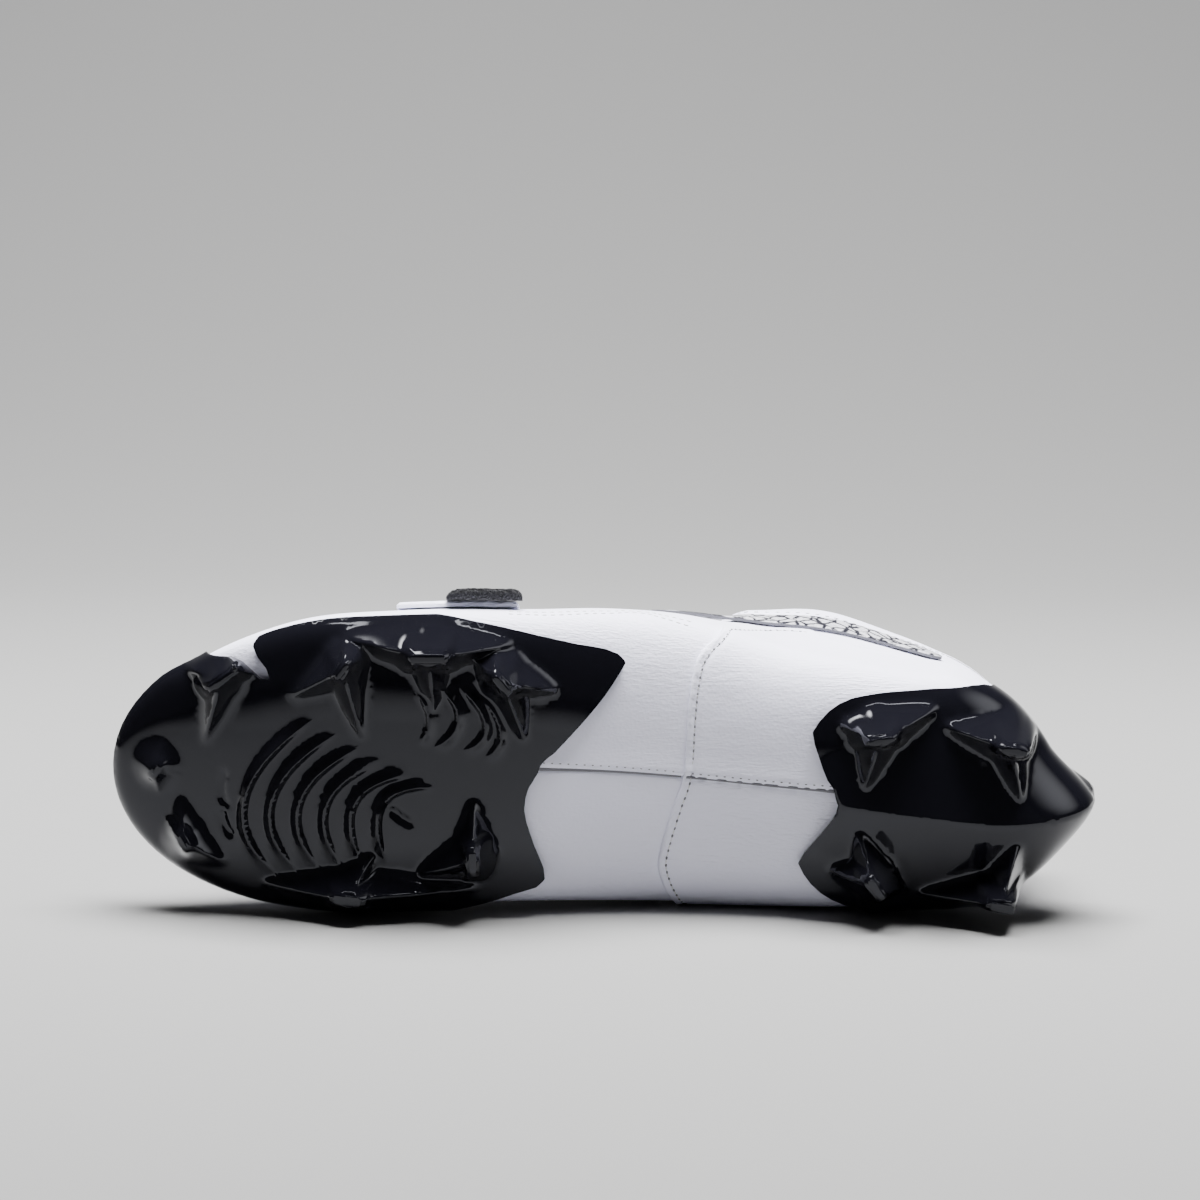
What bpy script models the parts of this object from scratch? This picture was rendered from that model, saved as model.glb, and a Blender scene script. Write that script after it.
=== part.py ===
"""Left american football cleat, at its real size, lying on its inner side with the sole facing -Y.

The shoe is worked out in its own frame: x runs from the rear spur to the toe, y to the outer side of
the foot, z up from the stud tips. Every piece is a patch of one last: a place on the last is a side
(+1 outer, -1 inner), a station s around it (0 to 1 round the heel, 1 to 2 along the foot, 2 to 3
round the toe) and a girth g (0 at the bottom's middle line, 1 at the widest line, 2 at the top edge).
The finished shoe is then laid down on the side that it rests on.
"""

import math

import bmesh
import bpy
import numpy as np
from mathutils import Matrix, Vector
from mathutils.geometry import delaunay_2d_cdt

# Driving sizes, in metres
LENGTH = 0.298
BALL_WIDTH = 0.0903
INSTEP_HEIGHT = 0.101
HEEL_HEIGHT = 0.090
WALL = 0.002
PLATE_THICKNESS = 0.0023
STUD_HEIGHT = 0.012
RIB_HEIGHT = 0.0020
COUNTER_STEP = 0.0009
FACING_STEP = 0.001
FACING_WIDTH = 0.015
THROAT_WIDTH = 0.036
INSOLE_THICKNESS = 0.003
TONGUE_THICKNESS = 0.0035
LACE_WIDTH = 0.006
LACE_THICKNESS = 0.0014
STRAP_THICKNESS = 0.0018
STRAP_WIDTH = 0.040
TAB_WIDTH = 0.023
TAB_REACH = 0.0060
BAND_WIDTH = 0.012
BAND_THICKNESS = 0.0012
GAP = 0.0003
SLACK = 0.0003
PLATE_SLACK = 0.0012

STAND = STUD_HEIGHT + PLATE_THICKNESS + GAP
FOREFOOT_LIFT = GAP + PLATE_THICKNESS
HEEL_LIFT = COUNTER_STEP + GAP + PLATE_THICKNESS

# The last, a row for each section. at is a share of LENGTH. middle, inner and outer are shares of
# BALL_WIDTH: the middle line and the reach to each side. under, widest and ridge are heights over
# the stand as shares of INSTEP_HEIGHT. flat is the roundness of the underside.
SECTION_COLUMNS = ("at", "middle", "inner", "outer", "under", "widest", "ridge", "flat")
SECTIONS = (
    (0.03, -0.205, 0.372, 0.372, 0.090, 0.250, 1.10, 3.0),
    (0.08, -0.165, 0.374, 0.374, 0.060, 0.225, 1.10, 3.1),
    (0.15, -0.136, 0.380, 0.375, 0.042, 0.210, 1.10, 3.2),
    (0.24, -0.122, 0.418, 0.405, 0.046, 0.230, 1.10, 2.9),
    (0.32, -0.106, 0.447, 0.440, 0.080, 0.270, 1.08, 2.5),
    (0.40, -0.085, 0.468, 0.500, 0.105, 0.290, 0.985, 2.4),
    (0.49, -0.056, 0.482, 0.512, 0.080, 0.250, 0.830, 2.6),
    (0.57, -0.036, 0.486, 0.503, 0.032, 0.190, 0.700, 3.0),
    (0.65, -0.020, 0.495, 0.500, 0.005, 0.140, 0.590, 3.3),
    (0.745, -0.016, 0.500, 0.490, 0.000, 0.116, 0.485, 3.4),
    (0.80, -0.022, 0.497, 0.487, 0.015, 0.122, 0.430, 3.3),
    (0.86, -0.040, 0.492, 0.484, 0.045, 0.145, 0.380, 3.1),
    (0.92, -0.056, 0.490, 0.482, 0.090, 0.175, 0.330, 3.0),
    (1.00, -0.070, 0.495, 0.487, 0.165, 0.225, 0.270, 3.0),
)

# The height of the top edge behind the throat, over the stand, as a share of HEEL_HEIGHT.
COLLAR_COLUMNS = ("at", "height")
COLLAR = (
    (0.055, 1.000),
    (0.090, 0.975),
    (0.150, 0.900),
    (0.220, 0.865),
    (0.290, 0.885),
    (0.350, 0.930),
    (0.430, 1.120),
)

HEEL_CENTRE = 0.15
HEEL_REACH = 0.12
HEEL_ROUNDNESS = 1.75
TOE_CENTRE = 0.745
TOE_REACH = 0.248
CREST = -0.045
COLLAR_BACK = 0.055
COLLAR_START = 0.34
COLLAR_INNER = 0.425
COLLAR_OUTER = 0.435
COLLAR_ROUNDNESS = 2.3
COLLAR_BULGE = 0.043
COLLAR_BULGE_AT = 0.262
COLLAR_BULGE_REACH = 0.066
THROAT_START = 0.43
THROAT_FRONT = 0.70
THROAT_ROUND = 0.05
COLLAR_CURVE = 0.35
COUNTER_FRONT = 0.42
SIDES = (1, -1)
PLATE_COLOUR = (0.012, 0.012, 0.014)


def read(rows, columns):
    """A dictionary of the columns of a table."""
    return dict(zip(columns, np.array(rows, float).T, strict=True))


LAST = read(SECTIONS, SECTION_COLUMNS)
TOPLINE = read(COLLAR, COLLAR_COLUMNS)


def curve(knots, values, at):
    """A smooth curve through the values at the knots."""
    at = np.clip(np.asarray(at, float), knots[0], knots[-1])
    slopes = np.gradient(values, knots)
    k = np.clip(np.searchsorted(knots, at, side="right") - 1, 0, len(knots) - 2)
    span = knots[k + 1] - knots[k]
    t = (at - knots[k]) / span
    start = (2 * t**3 - 3 * t**2 + 1) * values[k] + (t**3 - 2 * t**2 + t) * span * slopes[k]
    end = (3 * t**2 - 2 * t**3) * values[k + 1] + (t**3 - t**2) * span * slopes[k + 1]
    return start + end


def last(column, x):
    """A column of the last at x, in metres, or as it is for its roundness."""
    value = curve(LAST["at"], LAST[column], np.asarray(x) / LENGTH)
    if column in ("middle", "inner", "outer"):
        return value * BALL_WIDTH
    if column in ("under", "widest", "ridge"):
        return STAND + value * INSTEP_HEIGHT
    return value


def half_width(x, side):
    return np.where(side > 0, last("outer", x), last("inner", x))


def ease(low, high, value):
    """0 below low, 1 above high, smooth between."""
    t = np.clip((value - low) / (high - low), 0, 1)
    return t * t * (3 - 2 * t)


def outline(s, side):
    """The widest line at station s: x and y."""
    s = np.asarray(s, float)
    side = np.asarray(side, float)
    heel = np.clip(s, 0, 1) * math.pi / 2
    toe = np.clip(s - 2, 0, 1) * math.pi / 2
    along = np.clip(s - 1, 0, 1)
    middle = LENGTH * (HEEL_CENTRE + along * (TOE_CENTRE - HEEL_CENTRE))
    power = 2 / HEEL_ROUNDNESS
    x = middle - LENGTH * HEEL_REACH * np.cos(heel) ** power * (s < 1)
    x = x + LENGTH * TOE_REACH * np.sin(toe)
    narrow = np.where(s < 1, np.sin(heel) ** power, np.cos(toe))
    y = last("middle", x) + side * half_width(x, side) * narrow
    return x, y


def hub(s):
    """The point of the bottom's middle line that station s runs out from."""
    along = np.clip(np.asarray(s, float) - 1, 0, 1)
    x = LENGTH * (HEEL_CENTRE + along * (TOE_CENTRE - HEEL_CENTRE))
    return x, last("middle", x)


def crest(x):
    """The y of the instep's ridge."""
    return last("middle", x) + CREST * BALL_WIDTH


def throat_half(x):
    """Half the width of the throat at x."""
    inside = np.clip((THROAT_FRONT - np.asarray(x) / LENGTH) / THROAT_ROUND, 0, 1)
    return THROAT_WIDTH / 2 * np.sqrt(1 - (1 - inside) ** 2)


def top_edge(s, side):
    """The top edge at station s: x, y, z and how much of a quarter ellipse leads up to it."""
    s = np.asarray(s, float)
    x, _ = outline(s, side)
    share = np.clip(x / LENGTH, LAST["at"][0], None)
    ridge_x = np.minimum(x, LENGTH * TOE_CENTRE)
    ridge_y = crest(ridge_x)
    ridge_z = last("ridge", ridge_x)
    reach = np.abs(last("middle", ridge_x) + side * half_width(ridge_x, side) - ridge_y)
    open_half = throat_half(ridge_x)
    up = np.sqrt(1 - (open_half / reach) ** 2)
    low = last("widest", ridge_x)
    throat_y = ridge_y + side * open_half
    throat_z = low + (ridge_z - low) * up
    heel_x = LENGTH * HEEL_CENTRE
    start_x = LENGTH * COLLAR_START
    turn = np.where(s < 1, s / 2, 0.5 + (x - heel_x) / (start_x - heel_x) / 2)
    turn = np.clip(turn, 0, 1) * math.pi / 2
    power = 2 / COLLAR_ROUNDNESS
    collar_x = start_x - LENGTH * (COLLAR_START - COLLAR_BACK) * np.cos(turn) ** power
    collar_x = np.where(x > start_x, x, collar_x)
    spread = np.where(side > 0, COLLAR_OUTER, COLLAR_INNER)
    spread = spread + COLLAR_BULGE * np.exp(-(((collar_x / LENGTH - COLLAR_BULGE_AT) / COLLAR_BULGE_REACH) ** 2))
    spread = spread * BALL_WIDTH
    collar_y = last("middle", collar_x) + side * spread * np.sin(turn) ** power
    collar_z = STAND + HEEL_HEIGHT * curve(TOPLINE["at"], TOPLINE["height"], collar_x / LENGTH)
    mix = ease(COLLAR_START, THROAT_START, share)
    edge_x = mix * ridge_x + (1 - mix) * collar_x
    edge_y = mix * throat_y + (1 - mix) * collar_y
    edge_z = mix * throat_z + (1 - mix) * collar_z
    part = mix * np.minimum(up, 0.9999) + (1 - mix) * COLLAR_CURVE
    return edge_x, edge_y, edge_z, part


def surface(s, g, side):
    """The last's point at station s and girth g."""
    s, g, side = np.broadcast_arrays(*(np.asarray(v, float) for v in (s, g, side)))
    wide_x, wide_y = outline(s, side)
    hub_x, hub_y = hub(s)
    turn = np.clip(g, 0, 1) * math.pi / 2
    flat = 2 / last("flat", wide_x)
    out = np.sin(turn) ** flat
    low_x = hub_x + (wide_x - hub_x) * out
    low_y = hub_y + (wide_y - hub_y) * out
    under = last("under", low_x)
    low_z = under + (last("widest", low_x) - under) * (1 - np.cos(turn) ** flat)
    edge_x, edge_y, edge_z, part = top_edge(s, side)
    whole = np.arcsin(part)
    angle = np.clip(g - 1, 0, 1) * whole
    inward = (1 - np.cos(angle)) / (1 - np.cos(whole))
    up = np.sin(angle) / part
    high_x = wide_x + (edge_x - wide_x) * inward
    high_y = wide_y + (edge_y - wide_y) * inward
    over_toe = s > 2
    start_z = np.where(over_toe, last("widest", high_x), last("widest", wide_x))
    end_z = np.where(over_toe, last("ridge", high_x), edge_z)
    high_z = start_z + (end_z - start_z) * up
    upper_half = g > 1
    return np.stack(
        [
            np.where(upper_half, high_x, low_x),
            np.where(upper_half, high_y, low_y),
            np.where(upper_half, high_z, low_z),
        ],
        axis=-1,
    )


def normal(s, g, side):
    """The last's outward direction at station s and girth g."""
    s, g, side = np.broadcast_arrays(*(np.asarray(v, float) for v in (s, g, side)))
    small = 1e-3
    inside = np.clip(g, 0.02, 1.98)
    along = surface(np.minimum(s + small, 3), inside, side) - surface(np.maximum(s - small, 0), inside, side)
    around = surface(s, np.minimum(inside + small, 2), side) - surface(s, inside - small, side)
    out = np.cross(around, along) * side[..., None]
    out = out / np.linalg.norm(out, axis=-1, keepdims=True)
    on_line = (g < 1e-6)[..., None]
    straight = out * np.array([1.0, 0.0, 1.0])
    straight = straight / np.linalg.norm(straight, axis=-1, keepdims=True)
    return np.where(on_line, straight, out)


def skin(s, g, side, lift):
    """The point that lies lift outside the last."""
    lift = np.asarray(lift, float)
    return surface(s, g, side) + normal(s, g, side) * lift[..., None]


def station(x, y):
    """The station and side that the plan point x, y runs out to from its hub."""
    x, y = np.asarray(x, float), np.asarray(y, float)
    start, end = LENGTH * HEEL_CENTRE, LENGTH * TOE_CENTRE
    s = 1 + np.clip((x - start) / (end - start), 0, 1)
    side = np.where(y >= hub(s)[1], 1.0, -1.0)
    for low, tip, edge, centre in ((0, 0, x < start, start), (2, 3, x > end, end)):
        steps = np.linspace(low, low + 1, 60)
        centre_y = float(last("middle", centre))
        tip_x, tip_y = (float(v) for v in outline(tip, 1))
        turn = (tip_x - centre) * (y - centre_y) - (tip_y - centre_y) * (x - centre)
        side = np.where(edge, np.where(turn * (tip_x - centre) >= 0, 1.0, -1.0), side)
        for hand in SIDES:
            wide_x, wide_y = outline(steps, hand)
            wanted = np.arctan2(np.abs(x - centre), hand * (y - centre_y))
            bearing = np.arctan2(np.abs(wide_x - centre), hand * (wide_y - centre_y))
            order = np.argsort(bearing)
            found = np.interp(wanted, bearing[order], steps[order])
            s = np.where(edge & (side == hand), found, s)
    return s, side


def spokes(s, side):
    """The hub of each station, the way out from it to the widest line and how far that is."""
    wide_x, wide_y = outline(s, side)
    foot = np.stack(hub(s), axis=-1)
    away = np.stack([wide_x, wide_y], axis=-1) - foot
    radius = np.linalg.norm(away, axis=-1)
    return foot, away / radius[:, None], radius


def spot(x, y, lift):
    """The station, girth and side whose skin at that lift lies over the plan point x, y.

    Beyond the widest line a plan point stands for one as far up the wall.
    """
    s, side = station(x, y)
    foot, _, radius = spokes(s, side)
    share = np.hypot(x - foot[:, 0], y - foot[:, 1]) / (radius + lift)
    wide_x, _ = outline(s, side)
    low_g = np.arcsin(np.clip(share, 0, 1) ** (last("flat", wide_x) / 2)) * 2 / math.pi
    _, _, edge_z, part = top_edge(s, side)
    rise = np.clip((share - 1) * radius / (edge_z - last("widest", wide_x)), 0, 0.99)
    high_g = 1 + np.arcsin(rise * part) / np.arcsin(part)
    return s, np.where(share > 1, high_g, low_g), side


def plan_of(place, lift):
    """The plan point that spot would turn into this place."""
    s, g, side = place
    foot, way, radius = spokes(s, side)
    wide_x, _ = outline(s, side)
    share = np.sin(np.clip(g, 0, 1) * math.pi / 2) ** (2 / last("flat", wide_x))
    _, _, edge_z, part = top_edge(s, side)
    rise = np.sin(np.clip(g - 1, 0, 1) * np.arcsin(part)) / part
    share = share + rise * (edge_z - last("widest", wide_x)) / radius
    return foot + way * (share * (radius + lift))[:, None]


def girth_lengths(s, side, most, count):
    """The way along the last from the bottom's middle line out to each of an even row of girths."""
    steps = np.linspace(0, 1, count)[:, None] * most
    path = surface(s[None], steps, side[None])
    legs = np.linalg.norm(np.diff(path, axis=0), axis=-1)
    return steps, np.concatenate([np.zeros((1, len(s))), np.cumsum(legs, axis=0)])


def unroll(place):
    """Flat points for places on the last, with the wall laid out to its true length."""
    s, g, side = place
    foot, way, _ = spokes(s, side)
    _, lengths = girth_lengths(s, side, np.asarray(g)[None], 33)
    return foot + way * lengths[-1][:, None]


def fold(points):
    """The places on the last that unroll to these flat points."""
    s, side = station(points[:, 0], points[:, 1])
    foot, _, _ = spokes(s, side)
    away = np.linalg.norm(points - foot, axis=1)
    steps, lengths = girth_lengths(s, side, 1.9, 64)
    g = np.array([np.interp(d, lengths[:, i], steps[:, 0]) for i, d in enumerate(away)])
    return s, g, side


def finish(name, mesh, colour, roughness, metallic=0.0):
    """An object of a mesh, shaded smooth, with a material of its own."""
    bmesh.ops.remove_doubles(mesh, verts=mesh.verts, dist=1e-6)
    data = bpy.data.meshes.new(name)
    mesh.to_mesh(data)
    mesh.free()
    data.shade_smooth()
    material = bpy.data.materials.new(name)
    material.use_nodes = True
    shader = material.node_tree.nodes["Principled BSDF"]
    shader.inputs["Base Color"].default_value = (*colour, 1)
    shader.inputs["Roughness"].default_value = roughness
    shader.inputs["Metallic"].default_value = metallic
    data.materials.append(material)
    piece = bpy.data.objects.new(name, data)
    SHOE.objects.link(piece)
    return piece


def triangulate(ring, inner_points, creases):
    """Triangles inside a ring of plan points, with the ring first in the list of points."""
    points = [Vector(p) for p in ring]
    edges = [(i, (i + 1) % len(ring)) for i in range(len(ring))]
    for crease in creases:
        start = len(points)
        points += [Vector(p) for p in crease]
        edges += [(start + i, start + i + 1) for i in range(len(crease) - 1)]
    points += [Vector(p) for p in inner_points]
    verts, _, faces, origins, _, _ = delaunay_2d_cdt(points, edges, [], 1, 1e-7)
    place = {}
    for index, found in enumerate(origins):
        for origin in found:
            place[origin] = index
    order = [place[i] for i in range(len(ring))]
    taken = set(order)
    order += [i for i in range(len(verts)) if i not in taken]
    rank = {old: new for new, old in enumerate(order)}
    plan = np.array([verts[i] for i in order])
    return plan, [tuple(rank[i] for i in face) for face in faces]


def inside_ring(points, ring):
    """Whether each plan point lies inside the ring."""
    x, y = points[:, 0], points[:, 1]
    within = np.zeros(len(points), bool)
    for a, b in zip(ring, np.roll(ring, -1, axis=0), strict=True):
        crosses = (a[1] > y) != (b[1] > y)
        slope = (b[0] - a[0]) / np.where(b[1] == a[1], 1, b[1] - a[1])
        within ^= crosses & (x < a[0] + slope * (y - a[1]))
    return within


def filling(ring, spacing, creases):
    """Plan points in a triangular pattern inside the ring, clear of its edge and of the creases."""
    low, high = ring.min(axis=0), ring.max(axis=0)
    rise = spacing * math.sqrt(3) / 2
    ys = np.arange(low[1], high[1], rise)
    rows = [
        np.stack([np.arange(low[0] + (i % 2) * spacing / 2, high[0], spacing), np.full(1, y).repeat(
            len(np.arange(low[0] + (i % 2) * spacing / 2, high[0], spacing)))], axis=1)
        for i, y in enumerate(ys)
    ]
    points = np.concatenate(rows)
    points = points[inside_ring(points, ring)]
    blocks = [ring] + [np.asarray(c) for c in creases]
    near = np.concatenate(blocks)
    gap = np.linalg.norm(points[:, None] - near[None], axis=2).min(axis=1)
    return points[gap > 0.55 * spacing]


def even(path, spacing, closed=False):
    """A path's points again, evenly spaced."""
    path = np.asarray(path, float)
    if closed:
        path = np.concatenate([path, path[:1]])
    steps = np.concatenate([[0], np.cumsum(np.linalg.norm(np.diff(path, axis=0), axis=1))])
    count = max(2, round(steps[-1] / spacing) + 1)
    at = np.linspace(0, steps[-1], count)
    even_path = np.stack([np.interp(at, steps, path[:, i]) for i in range(path.shape[1])], axis=1)
    return even_path[:-1] if closed else even_path


def smooth(rows):
    """Points along a smooth curve through a few plan points."""
    rows = np.asarray(rows, float)
    knots = np.concatenate([[0], np.cumsum(np.linalg.norm(np.diff(rows, axis=0), axis=1))])
    at = np.linspace(0, knots[-1], 12 * len(rows))
    return np.stack([curve(knots, rows[:, i], at) for i in range(2)], axis=1)


def plan(rows):
    """Plan points from rows of shares of LENGTH and BALL_WIDTH."""
    return np.asarray(rows, float) * (LENGTH, BALL_WIDTH)


def rim(stations, side, lift, share):
    """Plan points along the widest line at that lift, each at its share of the way out to it."""
    wide_x, wide_y = outline(stations, side)
    foot_x, foot_y = hub(stations)
    away_x, away_y = wide_x - foot_x, wide_y - foot_y
    radius = np.hypot(away_x, away_y)
    scale = share * (1 + lift / radius)
    return np.stack([foot_x + away_x * scale, foot_y + away_y * scale], axis=1)


def shell(mesh, outer, outer_faces, inner, inner_faces, ring_size):
    """A closed wall between two triangulated skins that share the order of their ring."""
    tops = [mesh.verts.new(p) for p in outer]
    bottoms = [mesh.verts.new(p) for p in inner]
    for face in outer_faces:
        mesh.faces.new([tops[i] for i in face])
    for face in inner_faces:
        mesh.faces.new([bottoms[i] for i in reversed(face)])
    for i in range(ring_size):
        j = (i + 1) % ring_size
        mesh.faces.new((tops[i], bottoms[i], bottoms[j], tops[j]))
    bmesh.ops.recalc_face_normals(mesh, faces=mesh.faces)
    bmesh.ops.triangulate(mesh, faces=[f for f in mesh.faces if len(f.verts) > 3])


def patch(name, outer, outer_faces, inner, inner_faces, ring_size, colour, roughness):
    """A solid between two triangulated skins."""
    mesh = bmesh.new()
    shell(mesh, outer, outer_faces, inner, inner_faces, ring_size)
    return finish(name, mesh, colour, roughness)


def bottom_patch(name, ring, creases, base, slack, nominal, top, steps, colour, roughness):
    """A solid under the last, from lift base out to the lift that top works out.

    Its triangles are laid out on the unrolled last, so that they stay even up the wall.
    """
    fine, bent, coarse = steps
    flat_ring = unroll(spot(ring[:, 0], ring[:, 1], nominal))
    flat_creases = [unroll(spot(c[:, 0], c[:, 1], nominal)) for c in creases]
    outer_plan, outer_faces = triangulate(flat_ring, filling(flat_ring, fine, flat_creases), flat_creases)
    close, sparse = filling(flat_ring, bent, []), filling(flat_ring, coarse, [])
    close = close[fold(close)[1] > BENT_FROM + 0.05]
    sparse = sparse[fold(sparse)[1] < BENT_FROM]
    inner_plan, inner_faces = triangulate(flat_ring, np.concatenate([close, sparse]), [])
    outer_spot = fold(outer_plan)
    inner_spot = fold(inner_plan)
    lift, drop = top(plan_of(outer_spot, nominal), outer_spot)
    outer = skin(*outer_spot, lift) - drop[:, None] * np.array([0.0, 0.0, 1.0])
    inner = skin(*inner_spot, base + slack * ease(0.3, 0.6, inner_spot[1]))
    return patch(name, outer, outer_faces, inner, inner_faces, len(ring), colour, roughness)


# Studs, a row each. tip is the flat end's middle, its length, its width and its turn in degrees;
# apex, fore and aft are the ends of the blades that run down from it. Places are shares of LENGTH
# and BALL_WIDTH, lengths are shares of BALL_WIDTH.
STUD_COLUMNS = ("tip", "tall", "long", "wide", "turn", "apex", "fore", "aft")
FOREFOOT_STUDS = (
    ((0.885, 0.290), 0.80, 0.130, 0.022, 144, (0.906, 0.045), (0.928, 0.290), (0.869, 0.335)),
    ((0.966, -0.050), 0.50, 0.040, 0.016, 130, (0.951, -0.100), (0.958, 0.050), (0.962, -0.160)),
    ((0.928, -0.290), 0.60, 0.060, 0.018, 60, (0.932, -0.150), (0.948, -0.225), (0.884, -0.380)),
    ((0.758, 0.345), 1.00, 0.080, 0.026, 126, (0.740, 0.080), (0.815, 0.225), (0.735, 0.425)),
    ((0.673, 0.385), 1.00, 0.125, 0.040, 180, (0.669, 0.180), (0.765, 0.435), (0.590, 0.400)),
    ((0.600, 0.300), 1.00, 0.085, 0.026, 229, (0.578, 0.070), (0.630, 0.360), (0.545, 0.240)),
    ((0.755, -0.460), 1.00, 0.110, 0.040, 5, (0.730, -0.330), (0.850, -0.440), (0.622, -0.455)),
    ((0.630, -0.330), 1.00, 0.090, 0.032, 90, (0.630, -0.140), (0.690, -0.410), (0.610, -0.400)),
)
HEEL_STUDS = (
    ((0.219, 0.110), 1.00, 0.100, 0.028, 170, (0.232, -0.095), (0.258, 0.130), (0.160, 0.185)),
    ((0.085, 0.070), 1.00, 0.100, 0.032, 194, (0.075, -0.145), (0.155, 0.130), (0.062, 0.100)),
    ((0.223, -0.420), 1.00, 0.090, 0.032, 235, (0.238, -0.250), (0.266, -0.400), (0.190, -0.470)),
    ((0.097, -0.470), 1.00, 0.090, 0.036, 185, (0.078, -0.290), (0.180, -0.480), (0.070, -0.400)),
)
BLADE_EDGE = 0.0018
BLADE_FLANK = 0.0088
TIP_FLANK = 0.0058
BLADE_FALL = 0.85
FLANK_HOLLOW = 1.7
BLADE_JOIN = 6

RIB_COUNT = 6
RIB_TOP = (0.791, 0.150)
RIB_MIDDLE = (0.862, -0.147)
RIB_BOTTOM = (0.830, -0.420)
RIB_STEP = ((-0.0248, -0.049), (-0.0286, 0.0), (-0.0225, 0.010))
RIB_HALF = 0.0029

KEEL = ((0.245, -0.165), (0.160, -0.200), (0.080, -0.225), (0.020, -0.200), (-0.030, -0.170))
KEEL_COLUMNS = ("at", "height", "reach")
KEEL_SIZES = (
    (-0.040, 0.0015, 0.010),
    (-0.005, 0.0085, 0.0115),
    (0.030, 0.0078, 0.0150),
    (0.070, 0.0052, 0.0180),
    (0.140, 0.0040, 0.0170),
    (0.245, 0.0030, 0.0160),
)


def bend(start, middle, end, count):
    """Points along a curve from start to end that passes its middle point half way."""
    t = np.linspace(0, 1, count)[:, None]
    start, middle, end = (np.asarray(p, float) for p in (start, middle, end))
    control = 2 * middle - (start + end) / 2
    return (1 - t) ** 2 * start + 2 * t * (1 - t) * control + t**2 * end


def rib_line(i, count):
    ends = [np.add(place, np.multiply(step, i)) for place, step in
            zip((RIB_TOP, RIB_MIDDLE, RIB_BOTTOM), RIB_STEP, strict=True)]
    return plan(bend(*ends, count))


def read_stud(row):
    """A stud's tip corners and blades in metres."""
    stud = dict(zip(STUD_COLUMNS, row, strict=True))
    tip = plan(stud["tip"])
    turn = math.radians(stud["turn"])
    along = np.array([math.cos(turn), math.sin(turn)]) * stud["long"] * BALL_WIDTH / 2
    across = np.array([-math.sin(turn), math.cos(turn)]) * stud["wide"] * BALL_WIDTH / 2
    corners = np.array([tip + along + across, tip + along - across, tip - along - across, tip - along + across])
    blades = []
    for end in ("apex", "fore", "aft"):
        finish_at = plan(stud[end])
        blades.append(bend(tip, (tip + finish_at) / 2, finish_at, 9))
    return corners, blades


def path_distance(points, path):
    """Each point's distance from a path, and how far along the path that is, from 0 to 1."""
    steps = np.concatenate([[0], np.cumsum(np.linalg.norm(np.diff(path, axis=0), axis=1))])
    best = np.full(len(points), np.inf)
    where = np.zeros(len(points))
    for i in range(len(path) - 1):
        leg = path[i + 1] - path[i]
        t = np.clip((points - path[i]) @ leg / (leg @ leg), 0, 1)
        away = np.linalg.norm(points - path[i] - t[:, None] * leg, axis=1)
        near = away < best
        best = np.where(near, away, best)
        where = np.where(near, (steps[i] + t * (steps[i + 1] - steps[i])) / steps[-1], where)
    return best, where


def stud_share(points, studs):
    """How much of the way to the ground the studs reach at each plan point, from 0 to 1."""
    share = np.zeros(len(points))
    for row in studs:
        corners, blades = read_stud(row)
        loop = np.concatenate([corners, corners[:1]])
        away, _ = path_distance(points, loop)
        on_tip = inside_ring(points, corners) | (away < 1e-6)
        total = np.clip(1 - away / TIP_FLANK, 0, 1) ** (FLANK_HOLLOW * BLADE_JOIN)
        for blade in blades:
            away, where = path_distance(points, blade)
            crest_share = (1 - where) ** BLADE_FALL
            width = BLADE_EDGE + BLADE_FLANK * crest_share
            total += (crest_share * np.clip(1 - away / width, 0, 1) ** FLANK_HOLLOW) ** BLADE_JOIN
        joined = np.where(on_tip, 1, np.minimum(total ** (1 / BLADE_JOIN), 1))
        share = np.maximum(share, row[STUD_COLUMNS.index("tall")] * joined)
    return share


def stud_creases(studs):
    """The lines that the triangles follow: round each tip and down each blade."""
    lines = []
    for row in studs:
        corners, blades = read_stud(row)
        lines.append(np.concatenate([corners, corners[:1]]))
        tip = corners.mean(axis=0)
        clear = np.linalg.norm(corners[0] - tip) + 0.0012
        for blade in blades:
            outside = blade[np.linalg.norm(blade - tip, axis=1) > clear][::2]
            if len(outside) > 1:
                lines.append(outside)
    return lines


def stud_drop(place, lift, share, ground):
    """How far the skin at that lift is drawn down by a share of its height over the ground."""
    return share * np.maximum(skin(*place, np.full(len(share), lift))[:, 2] - ground, 0)


def forefoot_top(points, place):
    """The forefoot plate's lift at each plan point, with its ribs, and the drop of its studs."""
    ground = np.maximum(last("under", points[:, 0]) - STAND, 0) * (points[:, 0] > TOE_CENTRE * LENGTH)
    drop = stud_drop(place, FOREFOOT_LIFT, stud_share(points, FOREFOOT_STUDS), ground)
    rib = np.zeros(len(points))
    for i in range(RIB_COUNT):
        away, where = path_distance(points, rib_line(i, 12))
        tall = ease(0, 0.15, where) * ease(0, 0.15, 1 - where)
        rib = np.maximum(rib, tall * np.clip(1 - away / RIB_HALF, 0, 1) ** 1.3)
    return FOREFOOT_LIFT + RIB_HEIGHT * rib * (1 - ease(0, RIB_HEIGHT, drop)), drop


def heel_top(points, place):
    """The heel plate's lift at each plan point, with its keel and rear spur, and the drop of its studs."""
    drop = stud_drop(place, HEEL_LIFT, stud_share(points, HEEL_STUDS), 0)
    sizes = read(KEEL_SIZES, KEEL_COLUMNS)
    away, _ = path_distance(points, smooth(plan(KEEL)))
    at = points[:, 0] / LENGTH
    tall = curve(sizes["at"], sizes["height"], at)
    reach = curve(sizes["at"], sizes["reach"], at)
    keel = tall * np.clip(1 - away / reach, 0, 1) ** 1.4
    return HEEL_LIFT + keel, drop


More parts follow.
